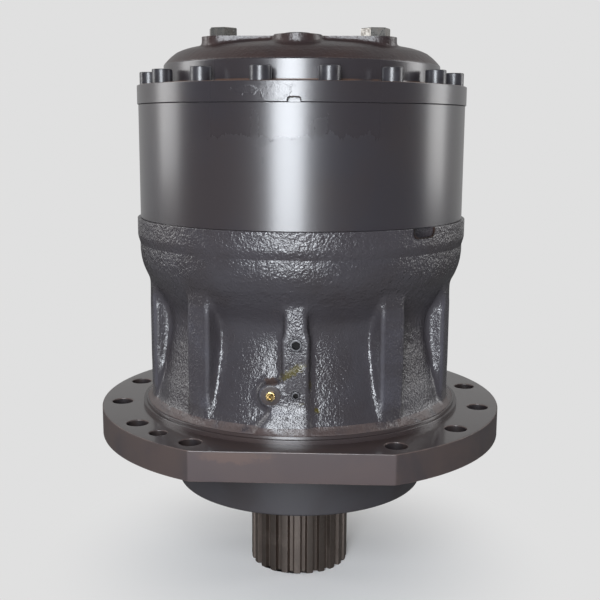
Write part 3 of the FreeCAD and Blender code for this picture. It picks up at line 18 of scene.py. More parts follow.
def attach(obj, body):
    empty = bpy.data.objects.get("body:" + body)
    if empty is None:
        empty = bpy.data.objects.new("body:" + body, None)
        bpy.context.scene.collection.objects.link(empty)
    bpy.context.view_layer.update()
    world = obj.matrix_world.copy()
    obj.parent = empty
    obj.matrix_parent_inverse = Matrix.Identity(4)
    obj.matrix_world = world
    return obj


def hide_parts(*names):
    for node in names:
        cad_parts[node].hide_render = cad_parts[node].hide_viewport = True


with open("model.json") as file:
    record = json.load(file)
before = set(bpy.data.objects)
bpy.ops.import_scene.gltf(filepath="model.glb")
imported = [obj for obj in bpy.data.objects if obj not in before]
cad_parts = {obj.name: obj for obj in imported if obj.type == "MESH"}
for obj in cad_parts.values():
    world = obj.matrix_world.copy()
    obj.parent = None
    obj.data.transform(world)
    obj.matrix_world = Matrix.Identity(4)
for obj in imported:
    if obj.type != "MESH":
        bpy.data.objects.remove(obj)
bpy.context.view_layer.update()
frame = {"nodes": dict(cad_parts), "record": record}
scene = bpy.context.scene
nodes = frame["nodes"]

# %% [markdown]
# ## Camera
# The photograph was taken a little above the flange, from about 1.25 m. A lens of
# 58 mm on Blender's 36 mm sensor gives the same opening angle. The camera could be
# aimed with a constraint, but a matrix built from the viewing direction also holds
# the slight roll of a hand-held shot.

# %% Camera
MM = 0.001
VIEW_TURN = math.radians(2.307)
VIEW_TILT = math.radians(10.14)
VIEW_ROLL = 0.0056
VIEW_OFFSET = (-0.00079, -1.2473, 0.0)
VIEW_HEIGHT = 0.38808
LENS = 58.07


def camera_matrix(place, direction, roll):
    """World matrix of a camera that looks along a direction and is rolled by an angle."""
    right = direction.cross(Vector((0, 0, 1))).normalized()
    up = right.cross(direction).normalized()
    across = right * math.cos(roll) + up * math.sin(roll)
    above = up * math.cos(roll) - right * math.sin(roll)
    turned = Matrix((across, above, -direction)).transposed().to_4x4()
    return Matrix.Translation(place) @ turned


turn = Matrix.Rotation(VIEW_TURN, 3, "Z")
view_place = turn @ Vector(VIEW_OFFSET) + Vector((0, 0, VIEW_HEIGHT))
view_direction = turn @ Vector((0, math.cos(VIEW_TILT), -math.sin(VIEW_TILT)))
camera_data = bpy.data.cameras.new("studio_camera")
camera_data.lens = LENS
camera_data.sensor_width = 36.0
camera_data.clip_start = 0.05
camera = bpy.data.objects.new("studio_camera", camera_data)
camera.matrix_world = camera_matrix(view_place, view_direction, VIEW_ROLL)
scene.collection.objects.link(camera)
scene.camera = camera
print("camera at", [round(x, 4) for x in view_place])

# %% [markdown]
# ## Helpers for modelling
# Most of this casing was turned on a lathe, so most pieces start as a short chain of
# vertices, radius and height in millimetres, that the spin operator carries round the
# axis. Corners are broken afterwards with the bevel operator, as a file breaks them.
# Flat plates with holes start as circles that triangle fill joins into one face.

# %% Turned pieces
STEPS = 192
NEAR = 2e-5


def outward(bm):
    """Turns all face normals outward."""
    bmesh.ops.recalc_face_normals(bm, faces=bm.faces)


def spin(bm, geom, angle, steps, **how):
    """Carries loose geometry round the Z axis."""
    bmesh.ops.spin(
        bm, geom=geom, cent=(0, 0, 0), axis=(0, 0, 1), dvec=(0, 0, 0), angle=angle,
        steps=steps, **how)


def chain(bm, points, closed=True):
    """Vertices and edges through (radius, height) points, in mm, beside the axis."""
    corners = [bm.verts.new((radius * MM, 0, height * MM)) for radius, height in points]
    ends = corners[1:] + corners[:1] if closed else corners[1:]
    return corners + [bm.edges.new(pair) for pair in zip(corners, ends)]


def turned_ring(bm, points, steps=STEPS):
    """Spins a closed outline of (radius, height) pairs round the Z axis."""
    spin(bm, chain(bm, points), math.tau, steps, use_merge=True)
    outward(bm)


def bevel(bm, geom, width, segments=3, **how):
    """Rounds edges by a width in mm."""
    settings = {"affect": "EDGES", "profile": 0.5, "material": -1, **how}
    return bmesh.ops.bevel(bm, geom=geom, offset=width * MM, segments=segments, **settings)


def rim(bm, radius, height):
    """The edges of the circle at a radius and a height."""
    def on_it(vert):
        reach = math.hypot(vert.co.x, vert.co.y)
        return abs(reach - radius * MM) < NEAR and abs(vert.co.z - height * MM) < NEAR
    return [edge for edge in bm.edges if all(on_it(vert) for vert in edge.verts)]


def break_rims(bm, rims, segments=3):
    """Rounds each (radius, height, width) rim of a turned piece."""
    for radius, height, width in rims:
        bevel(bm, rim(bm, radius, height), width, segments, clamp_overlap=True)


def new_object(bm, name):
    """An object in the scene that takes over what a bmesh holds."""
    mesh = bpy.data.meshes.new(name)
    bm.to_mesh(mesh)
    bm.free()
    made = bpy.data.objects.new(name, mesh)
    scene.collection.objects.link(made)
    return made


def finish_piece(bm, name, *materials, body="housing", sharp=38.0):
    """Makes the object from a bmesh, shades it evenly and hangs it on its body."""
    piece = new_object(bm, name)
    mesh = piece.data
    mesh.polygons.foreach_set("use_smooth", [True] * len(mesh.polygons))
    mesh.set_sharp_from_angle(angle=math.radians(sharp))
    for material in materials:
        mesh.materials.append(material)
    even = piece.modifiers.new("even shading", "WEIGHTED_NORMAL")
    even.keep_sharp = True
    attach(piece, body)
    print(name, "faces:", len(mesh.polygons))
    return piece


# %% Plates, holes and repeats
VERT, EDGE, FACE = bmesh.types.BMVert, bmesh.types.BMEdge, bmesh.types.BMFace


def only(kind, items):
    """The items of one kind among those that an operator made."""
    return [item for item in items if isinstance(item, kind)]


def everything(bm):
    """All vertices, edges and faces."""
    return bm.verts[:] + bm.edges[:] + bm.faces[:]


def circle(bm, radius, at=(0, 0), height=0.0, segments=48, turn_by=0.0):
    """A loose circle of edges, in mm, round a point."""
    where = Matrix.Translation((at[0] * MM, at[1] * MM, height * MM))
    where = where @ Matrix.Rotation(math.radians(turn_by), 4, "Z")
    made = bmesh.ops.create_circle(
        bm, cap_ends=False, radius=radius * MM, segments=segments, matrix=where)
    return list(dict.fromkeys(edge for vert in made["verts"] for edge in vert.link_edges))


def rod(bm, radius, length, segments=48):
    """A closed cylinder round the origin, in mm."""
    return bmesh.ops.create_cone(
        bm, cap_ends=True, cap_tris=False, segments=segments, radius1=radius * MM,
        radius2=radius * MM, depth=length * MM)["verts"]


def fill_between(bm, edges):
    """Fills loops of edges with faces and leaves the holes open."""
    bmesh.ops.triangle_fill(bm, use_beauty=True, use_dissolve=False, edges=edges)


def raise_faces(bm, faces, height):
    """Extrudes faces straight up by a height in mm and returns the new top faces."""
    made = bmesh.ops.extrude_face_region(bm, geom=faces)["geom"]
    bmesh.ops.translate(bm, verts=only(VERT, made), vec=(0, 0, height * MM))
    return only(FACE, made)


def raise_loop(bm, edges, height):
    """Fills a loop with one face and raises it."""
    return raise_faces(bm, bmesh.ops.edgeloop_fill(bm, edges=edges)["faces"], height)


def polar(radius, angle):
    """X and Y of a point at an angle from the front, counted towards +X."""
    a = math.radians(angle)
    return radius * math.sin(a), -radius * math.cos(a)


def repeat_round(bm, count):
    """Copies all that a bmesh holds round the Z axis."""
    spin(bm, everything(bm), math.tau * (count - 1) / count, count - 1, use_duplicate=True)


def place(bm, verts, at=(0, 0, 0), turn_z=0.0, tilt_x=0.0):
    """Turns and moves vertices, with angles in degrees and the place in mm."""
    matrix = Matrix.Translation(Vector(at) * MM)
    matrix = matrix @ Matrix.Rotation(math.radians(turn_z), 4, "Z")
    matrix = matrix @ Matrix.Rotation(math.radians(tilt_x), 4, "X")
    bmesh.ops.transform(bm, matrix=matrix, verts=verts)


# %% [markdown]
# ## Shared effects
# Every painted or machined surface here is uneven in the same few ways: a fine skin
# left by the spray gun or the sand mould, darker and browner patches, and paler
# corners that are partly a painted highlight. Each effect is a shader node group with
# named sockets, so that a material only sets how strong and how large it is. Groups
# give out heights, masks and colours, and the shader itself stays in the material.

# %% Node helpers
class Nodes:
    """Adds nodes to one shader tree and joins them up."""

    def __init__(self, tree):
        self.tree = tree

    def feed(self, value, socket):
        """Links another socket's value, or sets a plain one on the socket itself."""
        if isinstance(value, bpy.types.NodeSocket):
            self.tree.links.new(value, socket)
        elif socket.type == "RGBA":
            socket.default_value = (*value[:3], 1.0)
        else:
            socket.default_value = value

    def add(self, kind, inputs=None, **settings):
        """A node with its properties set and its inputs fed."""
        made = self.tree.nodes.new("ShaderNode" + kind)
        for key, value in settings.items():
            setattr(made, key, value)
        for key, value in (inputs or {}).items():
            self.feed(value, made.inputs[key])
        return made

    def use(self, group, **inputs):
        """A copy of a shared group; gives its output sockets."""
        return self.add("Group", inputs, node_tree=group.tree).outputs

    def math(self, operation, first, second=0.0, clamp=False):
        made = self.add("Math", {0: first, 1: second}, operation=operation, use_clamp=clamp)
        return made.outputs[0]

    def times(self, first, second, clamp=False):
        """A product; clamp keeps it between 0 and 1."""
        return self.math("MULTIPLY", first, second, clamp)

    def minus(self, first, second):
        return self.math("SUBTRACT", first, second)

    def larger(self, first, second):
        return self.math("MAXIMUM", first, second)

    def total(self, *parts):
        """The sum of (value, weight) pairs."""
        whole = None
        for value, weight in parts:
            part = value if weight == 1.0 else self.times(value, weight)
            whole = part if whole is None else self.math("ADD", whole, part)
        return whole

    def vector(self, operation, first, second=(0.0, 0.0, 0.0)):
        made = self.add("VectorMath", {0: first, 1: second}, operation=operation)
        return made.outputs["Value" if operation == "LENGTH" else "Vector"]

    def ramp(self, value, low, high, to_low=0.0, to_high=1.0):
        """Maps low..high to another range with soft ends."""
        return self.add("MapRange", {
            "Value": value, "From Min": low, "From Max": high, "To Min": to_low,
            "To Max": to_high}, interpolation_type="SMOOTHSTEP").outputs["Result"]

    def mix(self, factor, first, second):
        """Blends two colours."""
        return self.add("Mix", {0: factor, 6: first, 7: second}, data_type="RGBA").outputs[2]

    def noise(self, point, scale, detail, roughness=0.5, distortion=0.0):
        return self.add("TexNoise", {
            "Vector": point, "Scale": scale, "Detail": detail, "Roughness": roughness,
            "Distortion": distortion}).outputs[0]

    def stretch(self, point, scale):
        return self.add("Mapping", {"Vector": point, "Scale": scale}).outputs[0]

    def point(self):
        """The place on the object, in metres."""
        return self.add("TexCoord").outputs["Object"]

    def split(self, point):
        """Output sockets X, Y and Z of a vector."""
        return self.add("SeparateXYZ", {0: point}).outputs

    def edge(self):
        """How far a vertex stands out, as stored in the mesh."""
        return self.add("Attribute", attribute_name="edge").outputs["Fac"]

    def mix_shader(self, factor, first, second):
        """Blends the shaders of two nodes."""
        return self.add("MixShader", {0: factor, 1: first.outputs[0], 2: second.outputs[0]})


def socket_kind(default):
    """One number is a float, three are a vector and four a colour."""
    return "Float" if isinstance(default, float) else ("Vector", "Color")[len(default) - 3]


class Group(Nodes):
    """A shared node group whose sockets are named with their default values."""

    def __init__(self, name, inputs, outputs):
        super().__init__(bpy.data.node_groups.new(name, "ShaderNodeTree"))
        for direction, sockets in (("INPUT", inputs), ("OUTPUT", outputs)):
            for label, default in sockets.items():
                self.tree.interface.new_socket(
                    name=label, in_out=direction,
                    socket_type="NodeSocket" + socket_kind(default)).default_value = default
        self.given = self.tree.nodes.new("NodeGroupInput").outputs
        self.wanted = self.tree.nodes.new("NodeGroupOutput").inputs

    def give(self, **results):
        """Feeds the group's output sockets."""
        for key, value in results.items():
            self.feed(value, self.wanted[key])


# %% Group: cast skin
# A sand mould leaves low swells and small pits, and thick paint rounds them off.
net = cast_skin = Group(
    "cast skin", {"Size": 1.0, "Upright": 1.0}, {"Height": 0.0, "Pits": 0.0})
upright = net.add("CombineXYZ", {0: 1.0, 1: 1.0, 2: net.given["Upright"]})
point = net.vector("MULTIPLY", net.point(), upright.outputs[0])
swells, beads, grains = (
    net.noise(point, net.times(net.given["Size"], scale), detail)
    for scale, detail in ((110.0, 1.0), (300.0, 1.0), (620.0, 2.0)))
net.give(
    Height=net.total((swells, 1.0), (beads, 0.9), (grains, 0.4)),
    Pits=net.ramp(beads, 0.62, 0.38))

# %% Group: sprayed skin
# Sprayed enamel dries with a long, shallow orange peel and a few vertical sags.
net = sprayed_skin = Group("sprayed skin", {"Size": 1.0, "Sags": 0.5}, {"Height": 0.0})
point = net.point()
peel = net.noise(point, net.times(net.given["Size"], 90.0), 2.0)
runs = net.noise(net.stretch(point, (42.0, 42.0, 7.0)), 1.0, 4.0, 0.62, 0.4)
sags = net.times(net.ramp(runs, 0.56, 0.66), net.given["Sags"])
net.give(Height=net.total((peel, 0.35), (sags, 1.0)))

# %% Group: stains
# Oil and heat leave soft brown clouds on paint and on bare metal.
GREY, BROWN = (0.05, 0.05, 0.05, 1.0), (0.08, 0.06, 0.05, 1.0)
net = stains = Group(
    "stains", {"Colour": GREY, "Stain": BROWN, "Size": 1.0, "Amount": 0.5},
    {"Colour": GREY, "Mask": 0.0})
clouds = net.noise(net.point(), net.times(net.given["Size"], 9.0), 5.0, 0.6, 0.5)
mask = net.times(net.ramp(clouds, 0.38, 0.68), net.given["Amount"])
net.give(Colour=net.mix(mask, net.given["Colour"], net.given["Stain"]), Mask=mask)

# %% Group: edge highlight and wear
# Corners are painted paler: a painted highlight along the edges, and worn paint. The
# "edge" attribute of a mesh says how far each vertex stands out from its neighbours,
# and noise breaks the line up.
net = edge_highlight_and_wear = Group("edge highlight and wear", {"Amount": 0.5}, {"Mask": 0.0})
patches = net.noise(net.point(), 60.0, 4.0, 0.7)
mask = net.times(net.edge(), net.ramp(patches, 0.35, 0.65))
net.give(Mask=net.times(mask, net.given["Amount"], clamp=True))

# %% Group: spray lap
# Two passes of the gun meet in a wavy line with a few drips below it.
net = spray_lap = Group(
    "spray lap", {"Level": 0.4, "Waviness": 0.03}, {"Mask": 0.0, "Edge": 0.0})
point = net.point()
drips = net.noise(net.stretch(point, (1.0, 1.0, 0.12)), 55.0, 5.0, 0.7)
waves = net.times(net.minus(drips, 0.5), net.given["Waviness"])
level = net.total((net.split(point)["Z"], 1.0), (waves, 1.0))
above = net.minus(level, net.given["Level"])
mask = net.ramp(net.times(above, 1000.0), -1.2, 1.2)
close = net.times(mask, net.minus(1.0, mask))
rare = net.ramp(drips, 0.52, 0.62)
net.give(Mask=mask, Edge=net.times(net.times(close, 4.0), rare, clamp=True))

# %% Group: turned lines
# A lathe tool leaves rings of very shallow grooves that show through the paint.
net = turned_lines = Group("turned lines", {"Pitch": 0.001}, {"Height": 0.0})
level = net.split(net.point())["Z"]
count = net.math("DIVIDE", level, net.given["Pitch"])
along = net.add("CombineXYZ", {0: 0.0, 1: 0.0, 2: count}).outputs[0]
net.give(Height=net.noise(along, 1.0, 2.0, 0.6))

# %% Group: brown ledge
# Dust and old primer collect on a flat ledge between two heights; at the base of the cover's
# neck the same brown band is a painted reflection of the dome.
net = brown_ledge = Group("brown ledge", {"Bottom": 0.0, "Top": 1.0}, {"Mask": 0.0})
point = net.point()
level = net.split(point)["Z"]
over = net.math("GREATER_THAN", level, net.given["Bottom"])
under = net.math("LESS_THAN", level, net.given["Top"])
patches = net.ramp(net.noise(point, 40.0, 4.0, 0.6), 0.3, 0.55)
net.give(Mask=net.times(net.times(over, under), patches))

# %% Group: smear
# A finger of old oil or primer on the front, as an oval patch broken up by noise.
net = smear = Group(
    "smear",
    {"Middle": (0.0, 0.0, 0.0), "Reach": (0.01, 1.0, 0.003), "Lean": 0.0, "Grain": 330.0},
    {"Mask": 0.0})
point = net.point()
front = net.math("LESS_THAN", net.split(point)["Y"], -0.16)
level = net.add("VectorRotate", {
    "Vector": net.vector("SUBTRACT", point, net.given["Middle"]),
    "Angle": net.given["Lean"]}, rotation_type="Y_AXIS").outputs[0]
scaled = net.vector("DIVIDE", level, net.given["Reach"])
reach = net.vector("LENGTH", net.vector("MULTIPLY", scaled, (1.0, 0.0, 1.0)))
patches = net.minus(net.noise(point, net.given["Grain"], 4.0, 0.7), 0.5)
ragged = net.total((reach, 1.0), (patches, 2.6))
net.give(Mask=net.times(net.ramp(ragged, 1.15, 0.55), front))
print("node groups:", [group.name for group in bpy.data.node_groups])

# %% [markdown]
# ## Finishes
# The whole unit was sprayed after it was put together, so paint lies on iron, steel
# and screw heads alike, and only the shaft, the motor bolts and the grease nipple are
# bare. The paint is a charcoal enamel with a slightly metallic sheen: wet and smooth
# on the turned ring, beaded on the raw casting, satin and brown on the machined
# flange. Each finish is one Principled shader with its own bump.

# %% Finish makers
class Finish(Nodes):
    """A material with a Principled shader whose inputs are named with underscores."""

    def __init__(self, name, **constants):
        self.material = bpy.data.materials.new(name)
        self.material.use_nodes = True
        super().__init__(self.material.node_tree)
        self.shader = self.tree.nodes["Principled BSDF"]
        self.paint(**constants)

    def paint(self, **inputs):
        """Feeds inputs of the Principled shader."""
        for key, value in inputs.items():
            self.feed(value, self.shader.inputs[key.replace("_", " ")])

    def bump(self, height, depth, strength):
        """Feeds a height through a Bump node; depth is in millimetres."""
        made = self.add("Bump", {
            "Height": height, "Strength": strength, "Distance": depth * MM})
        self.paint(Normal=made.outputs[0])

    def stained(self, colour, stain, clouds, amount=0.8):
        """Output sockets Colour and Mask of soft stains over a colour."""
        return self.use(stains, Colour=colour, Stain=stain, Size=clouds, Amount=amount)

    def smeared(self, x, z, wide, tall, grain, lean=0.0):
        """Mask of a smear at a place on the front, in metres and degrees."""
        return self.use(
            smear, Middle=(x, -0.19, z), Reach=(wide, 1.0, tall), Lean=math.radians(lean),
            Grain=grain)["Mask"]


# Skins for plain finishes: the group, its settings, the depth in mm and the strength.
SATIN_SKIN = (sprayed_skin, {"Size": 2.2, "Sags": 0.2}, 0.12, 0.5)
GRAINED_SKIN = (cast_skin, {"Size": 3.0}, 0.05, 0.5)
SOCKET_SKIN = (cast_skin, {"Size": 3.0}, 0.08, 0.6)
SCREW_SKIN = (cast_skin, {"Size": 2.0}, 0.12, 0.6)
BEAD_SKIN = (cast_skin, {"Size": 2.0}, 0.4, 0.8)


def plain_finish(name, roughness, shine, colour, stain, clouds, amount, skin):
    """A stained colour over one kind of skin."""
    net = Finish(name, Roughness=roughness, Specular_IOR_Level=shine)
    net.paint(Base_Color=net.stained(colour, stain, clouds, amount)["Colour"])
    group, settings, depth, strength = skin
    net.bump(net.use(group, **settings)["Height"], depth, strength)
    return net.material


# %% Wet charcoal enamel on turned steel
# The upper spray pass is a little glossier. Where fingers or drips touched it, and
# along the lap, it is darker and duller, and two speckled runs mark the cover.
TOUCHES = (
    (-0.0425, 0.386, 0.0050, 0.024), (-0.0345, 0.371, 0.0060, 0.007),
    (-0.0335, 0.352, 0.0016, 0.006), (0.0190, 0.383, 0.0030, 0.012),
    (0.0290, 0.388, 0.0085, 0.013), (0.1330, 0.382, 0.0090, 0.011))

net = Finish("gloss_enamel", Coat_Roughness=0.2)
lapped = net.use(spray_lap, Level=0.378, Waviness=0.040)
across = net.math("ABSOLUTE", net.split(net.point())["X"])
facing = net.ramp(across, 0.060, 0.125, 1.0, 0.25)
lap = net.times(lapped["Mask"], facing)
smudges = net.times(net.times(lapped["Edge"], facing), 0.6)
for x, z, wide, tall in TOUCHES:
    smudges = net.larger(smudges, net.times(net.smeared(x, z, wide, tall, 90.0), 0.2))
speckles = net.larger(
    net.smeared(-0.018, 0.4245, 0.0200, 0.0095, 120.0),
    net.smeared(-0.050, 0.4265, 0.0180, 0.0050, 120.0))
# The brown band at the base of the neck is a painted reflection of the brown dome.
dust_and_reflection = net.use(brown_ledge, Bottom=0.4364, Top=0.4402)["Mask"]
tint = net.stained((0.040, 0.036, 0.042), (0.045, 0.036, 0.037), 0.7)["Colour"]
colour = net.mix(net.times(lap, 0.4), tint, (0.036, 0.029, 0.031))
colour = net.mix(net.times(smudges, 0.8), colour, (0.014, 0.012, 0.013))
net.paint(
    Base_Color=net.mix(dust_and_reflection, colour, (0.105, 0.062, 0.046)),
    Roughness=net.total((net.ramp(lap, 0.0, 1.0, 0.30, 0.262), 1.0), (smudges, 0.16)),
    Coat_Weight=net.ramp(smudges, 0.0, 0.7, 0.5, 0.0),
    Specular_IOR_Level=net.ramp(smudges, 0.0, 0.7, 0.85, 0.3))
skin = net.use(sprayed_skin, Size=1.0, Sags=0.0)["Height"]
beads = net.times(speckles, net.use(cast_skin, Size=1.9, Upright=1.0)["Height"])
turned = net.use(turned_lines, Pitch=0.0016)["Height"]
net.bump(net.total((skin, 0.6), (lap, 0.16), (turned, 0.06), (beads, 1.1)), 0.25, 0.5)
gloss_enamel = net.material

# %% Beaded enamel on the raw casting
net = Finish("band_enamel")
skin = net.use(cast_skin, Size=1.15, Upright=1.0)
tint = net.stained((0.062, 0.056, 0.063), (0.052, 0.044, 0.047), 1.4)["Colour"]
net.paint(
    Base_Color=tint, Roughness=net.ramp(skin["Pits"], 0.0, 1.0, 0.17, 0.27),
    Specular_IOR_Level=0.9)
net.bump(skin["Height"], 1.0, 0.9)
band_enamel = net.material

# %% Enamel on the bell, the ribs and the pad
# The skin is coarse on the bell and finer below it. The faces of the ribs carry a
# painted sheen, lighter and bluer, and are rougher; their corners are duller, the foot is
# dusty, and olive grease ran over the pad.
GREASE = (
    (-0.0004, 0.1168, 0.0175, 0.0052, 33.0, 1.0), (0.0095, 0.0792, 0.0035, 0.0016, 10.0, 0.5),
    (0.0265, 0.0705, 0.0040, 0.0026, -35.0, 0.9), (0.0185, 0.1000, 0.0016, 0.0060, 5.0, 0.5))

net = Finish("cast_enamel")
point = net.point()
level = net.split(point)["Z"]
across = net.math("ABSOLUTE", net.split(point)["X"])
radius = net.vector("LENGTH", net.vector("MULTIPLY", point, (1, 1, 0)))
high = net.ramp(level, 0.165, 0.200)
low = net.minus(1.0, high)
rib_faces = net.times(net.ramp(radius, 0.1905, 0.1925), net.ramp(level, 0.062, 0.070))
rib_faces = net.times(rib_faces, net.ramp(level, 0.188, 0.180))
tint = net.stained((0.060, 0.055, 0.062), (0.049, 0.042, 0.045), 1.4)
# Painted sheen: the outer faces of the ribs are painted lighter and bluer, and rougher.
rib_face_sheen = net.times(rib_faces, net.ramp(tint["Mask"], 0.0, 0.6, 0.75, 0.25))
# Paler edges: a painted highlight along the edges, with worn paint.
edge_sheen_and_wear = net.times(net.use(edge_highlight_and_wear, Amount=1.0)["Mask"], 0.3)
arris = net.times(net.edge(), net.ramp(radius, 0.188, 0.191))
dust_and_reflection = net.use(brown_ledge, Bottom=0.0405, Top=0.0525)["Mask"]
grimy = net.smeared(-0.026, 0.1035, 0.0085, 0.0036, 330.0)
colour = net.mix(rib_face_sheen, tint["Colour"], (0.080, 0.076, 0.092))
colour = net.mix(edge_sheen_and_wear, colour, (0.09, 0.086, 0.092))
colour = net.mix(net.times(dust_and_reflection, 0.75), colour, (0.085, 0.055, 0.048))
colour = net.mix(net.times(grimy, 0.8), colour, (0.085, 0.055, 0.045))
for x, z, wide, tall, lean, amount in GREASE:
    spilt = net.times(net.smeared(x, z, wide, tall, 330.0, lean), amount)
    colour = net.mix(spilt, colour, (0.078, 0.062, 0.010))
fine = net.use(cast_skin, Size=1.7, Upright=0.8)
coarse = net.use(cast_skin, Size=1.15, Upright=1.0)
net.paint(
    Base_Color=colour,
    Roughness=net.total(
        (net.ramp(fine["Pits"], 0.0, 1.0, 0.14, 0.22), 1.0), (arris, 0.5), (rib_face_sheen, 0.14),
        (dust_and_reflection, 0.25)),
    Specular_IOR_Level=net.ramp(arris, 0.0, 0.6, 0.9, 0.35))

# %% Skin depth of the casting
# It is deeper at the sides, shallower on the furthest ribs, deep in the raw corner
# left of the pad's foot and nearly smooth on the pad itself.
height = net.total(
    (coarse["Height"], net.times(high, 1.3)), (fine["Height"], net.times(low, 0.78)))
far_ribs = net.times(low, net.ramp(across, 0.150, 0.165, 0.0, 0.65))
raw = net.smeared(-0.010, 0.059, 0.042, 0.018, 60.0)
smooth = net.smeared(0.0025, 0.1085, 0.0165, 0.033, 60.0)
for depth in (
        net.ramp(across, 0.085, 0.125, 1.0, 1.7), net.minus(1.0, far_ribs),
        net.ramp(raw, 0.0, 1.0, 1.0, 1.35), net.ramp(smooth, 0.0, 1.0, 1.0, 0.35)):
    height = net.times(height, depth)
net.bump(height, 0.72, 0.9)
cast_enamel = net.material

# %% Satin brown paint on the machined flange
net = Finish("flange_paint", Specular_IOR_Level=0.5, Coat_Roughness=0.12)
axes = net.split(net.point())
on_top = net.ramp(axes["Z"], 0.0340, 0.0358)
on_flat = net.times(net.math("LESS_THAN", axes["Y"], -0.2308), 0.6)
rusty = net.times(net.smeared(-0.064, 0.031, 0.040, 0.009, 40.0), 0.4)
tint = net.stained((0.084, 0.062, 0.057), (0.056, 0.047, 0.050), 1.3)["Colour"]
colour = net.mix(on_flat, tint, (0.094, 0.066, 0.066))
colour = net.mix(rusty, colour, (0.165, 0.100, 0.076))
net.paint(
    Base_Color=net.mix(on_top, colour, (0.044, 0.030, 0.028)),
    Roughness=net.ramp(on_top, 0.0, 1.0, 0.46, 0.30),
    Coat_Weight=net.ramp(on_top, 0.0, 1.0, 0.0, 0.8))
net.bump(net.use(sprayed_skin, Size=2.2, Sags=0.2)["Height"], 0.12, 0.5)
flange_paint = net.material

# %% Plain paints, painted shade for the holes, and the beads of sealant and shadow
foot_paint = plain_finish(
    "foot_paint", 0.24, 0.7, (0.055, 0.040, 0.038), (0.040, 0.033, 0.035), 1.3, 0.8,
    SATIN_SKIN)
# Near black paint for the walls of the flange holes: painted shade.
bore_shade_paint = plain_finish(
    "bore_shade_paint", 0.5, 0.4, (0.030, 0.024, 0.026), (0.050, 0.036, 0.032), 6.0, 0.8,
    GRAINED_SKIN)
nose_paint = plain_finish(
    "nose_paint", 0.48, 0.5, (0.060, 0.056, 0.061), (0.048, 0.041, 0.043), 1.4, 0.8,
    SATIN_SKIN)
rubbed_paint = plain_finish(
    "rubbed_paint", 0.38, 0.7, (0.13, 0.095, 0.085), (0.07, 0.055, 0.055), 6.0, 0.9,
    GRAINED_SKIN)
# Near black paint for the beads along the notches: painted shadow, with sealant at the band's
# notch.
sealant_and_shadow = plain_finish(
    "sealant_and_shadow", 0.55, 0.3, (0.010, 0.008, 0.008), (0.050, 0.026, 0.020), 14.0, 0.8,
    BEAD_SKIN)

# %% Dark satin paint on the dome
net = Finish(
    "dome_paint", Roughness=0.36, Specular_IOR_Level=0.7, Coat_Weight=0.2,
    Coat_Roughness=0.25)
tint = net.stained((0.044, 0.026, 0.024), (0.030, 0.021, 0.022), 1.2)["Colour"]
# Paler edges: a painted highlight along the edges, with worn paint.
edge_sheen_and_wear = net.use(edge_highlight_and_wear, Amount=0.5)["Mask"]
net.paint(Base_Color=net.mix(edge_sheen_and_wear, tint, (0.15, 0.13, 0.12)))
net.bump(net.use(cast_skin, Size=1.4)["Height"], 0.6, 0.8)
dome_paint = net.material
print("paints:", [material.name for material in bpy.data.materials])

# %% [markdown]
# ## Housing, the raw casting
# The bell between the flange and the top band is raw sand-cast iron: ribs stand round
# a waist, a pad takes the place of the front one, and every corner is filled with a
# soft fillet. Bevels can't fillet so many crossing forms, so the bell, the ribs and
# the pad are made as simple solids that pass through each other. A voxel remesh
# melts them into one skin, and a smoothing that acts mostly in the hollows lays the
# fillets, as the pattern maker does with wax.

# %% Housing sizes
BAND_R = 207.8
HOUSING_TOP = 276.0
BELL = [
    (205.0, 262.0), (205.0, 236.0), (203.9, 226.0), (202.0, 218.0), (198.0, 207.5),
    (193.0, 198.5), (188.2, 190.0), (183.2, 182.0), (178.6, 174.5), (175.0, 167.0),
    (173.1, 158.5), (172.5, 148.0), (173.3, 132.0), (176.5, 115.0), (178.8, 102.0),
    (181.5, 90.0), (186.0, 74.0), (188.2, 65.0), (190.2, 56.0), (193.6, 48.5), (201.0, 44.0)]
INNER_WALL = [(201.0, 40.0), (150.0, 40.0), (150.0, 215.0), (162.0, 238.0), (162.0, 262.0)]
RIB_PLACES = 10
RIB_BACK = 157.0
RIB_FACE = 193.8
RIB_TOP = 199.0
RIB_BOTTOM = 38.0
RIB_ROOT = 17.6
RIB_OUTSIDE = 17.0
PAD_FACE = 190.0
PAD_X = 2.5
PAD_HALF = 15.5
UPPER_PLUG_Z = 146.6
LOWER_PLUG_Z = 88.4
NIPPLE_X, NIPPLE_Z = -26.0, 88.0

# %% Helpers for melted castings
HOLLOW_GAIN = 14.0


def box_between(bm, low, high):
    """A box from its lowest to its highest corner, in mm."""
    made = bmesh.ops.create_cube(bm, size=1.0)["verts"]
    size = [(b - a) * MM for a, b in zip(low, high)]
    middle = [(a + b) / 2 * MM for a, b in zip(low, high)]
    bmesh.ops.scale(bm, vec=size, verts=made)
    bmesh.ops.translate(bm, vec=middle, verts=made)


def upright_plate(bm, outline, face):
    """A plate with an outline of X and Z, from inside the wall out to y = -face."""
    corners = [bm.verts.new((x * MM, -RIB_BACK * MM, z * MM)) for x, z in outline]
    made = bmesh.ops.extrude_face_region(bm, geom=[bm.faces.new(corners)])["geom"]
    moved = only(VERT, made)
    bmesh.ops.translate(bm, verts=moved, vec=(0, -(face - RIB_BACK) * MM, 0))
    return corners + moved


def applied(piece):
    """The mesh of an object with its modifiers carried out."""
    bpy.context.view_layer.update()
    depsgraph = bpy.context.evaluated_depsgraph_get()
    return bpy.data.meshes.new_from_object(piece.evaluated_get(depsgraph))


def bmesh_of(mesh):
    """A new bmesh that holds what a mesh holds."""
    made = bmesh.new()
    made.from_mesh(mesh)
    return made


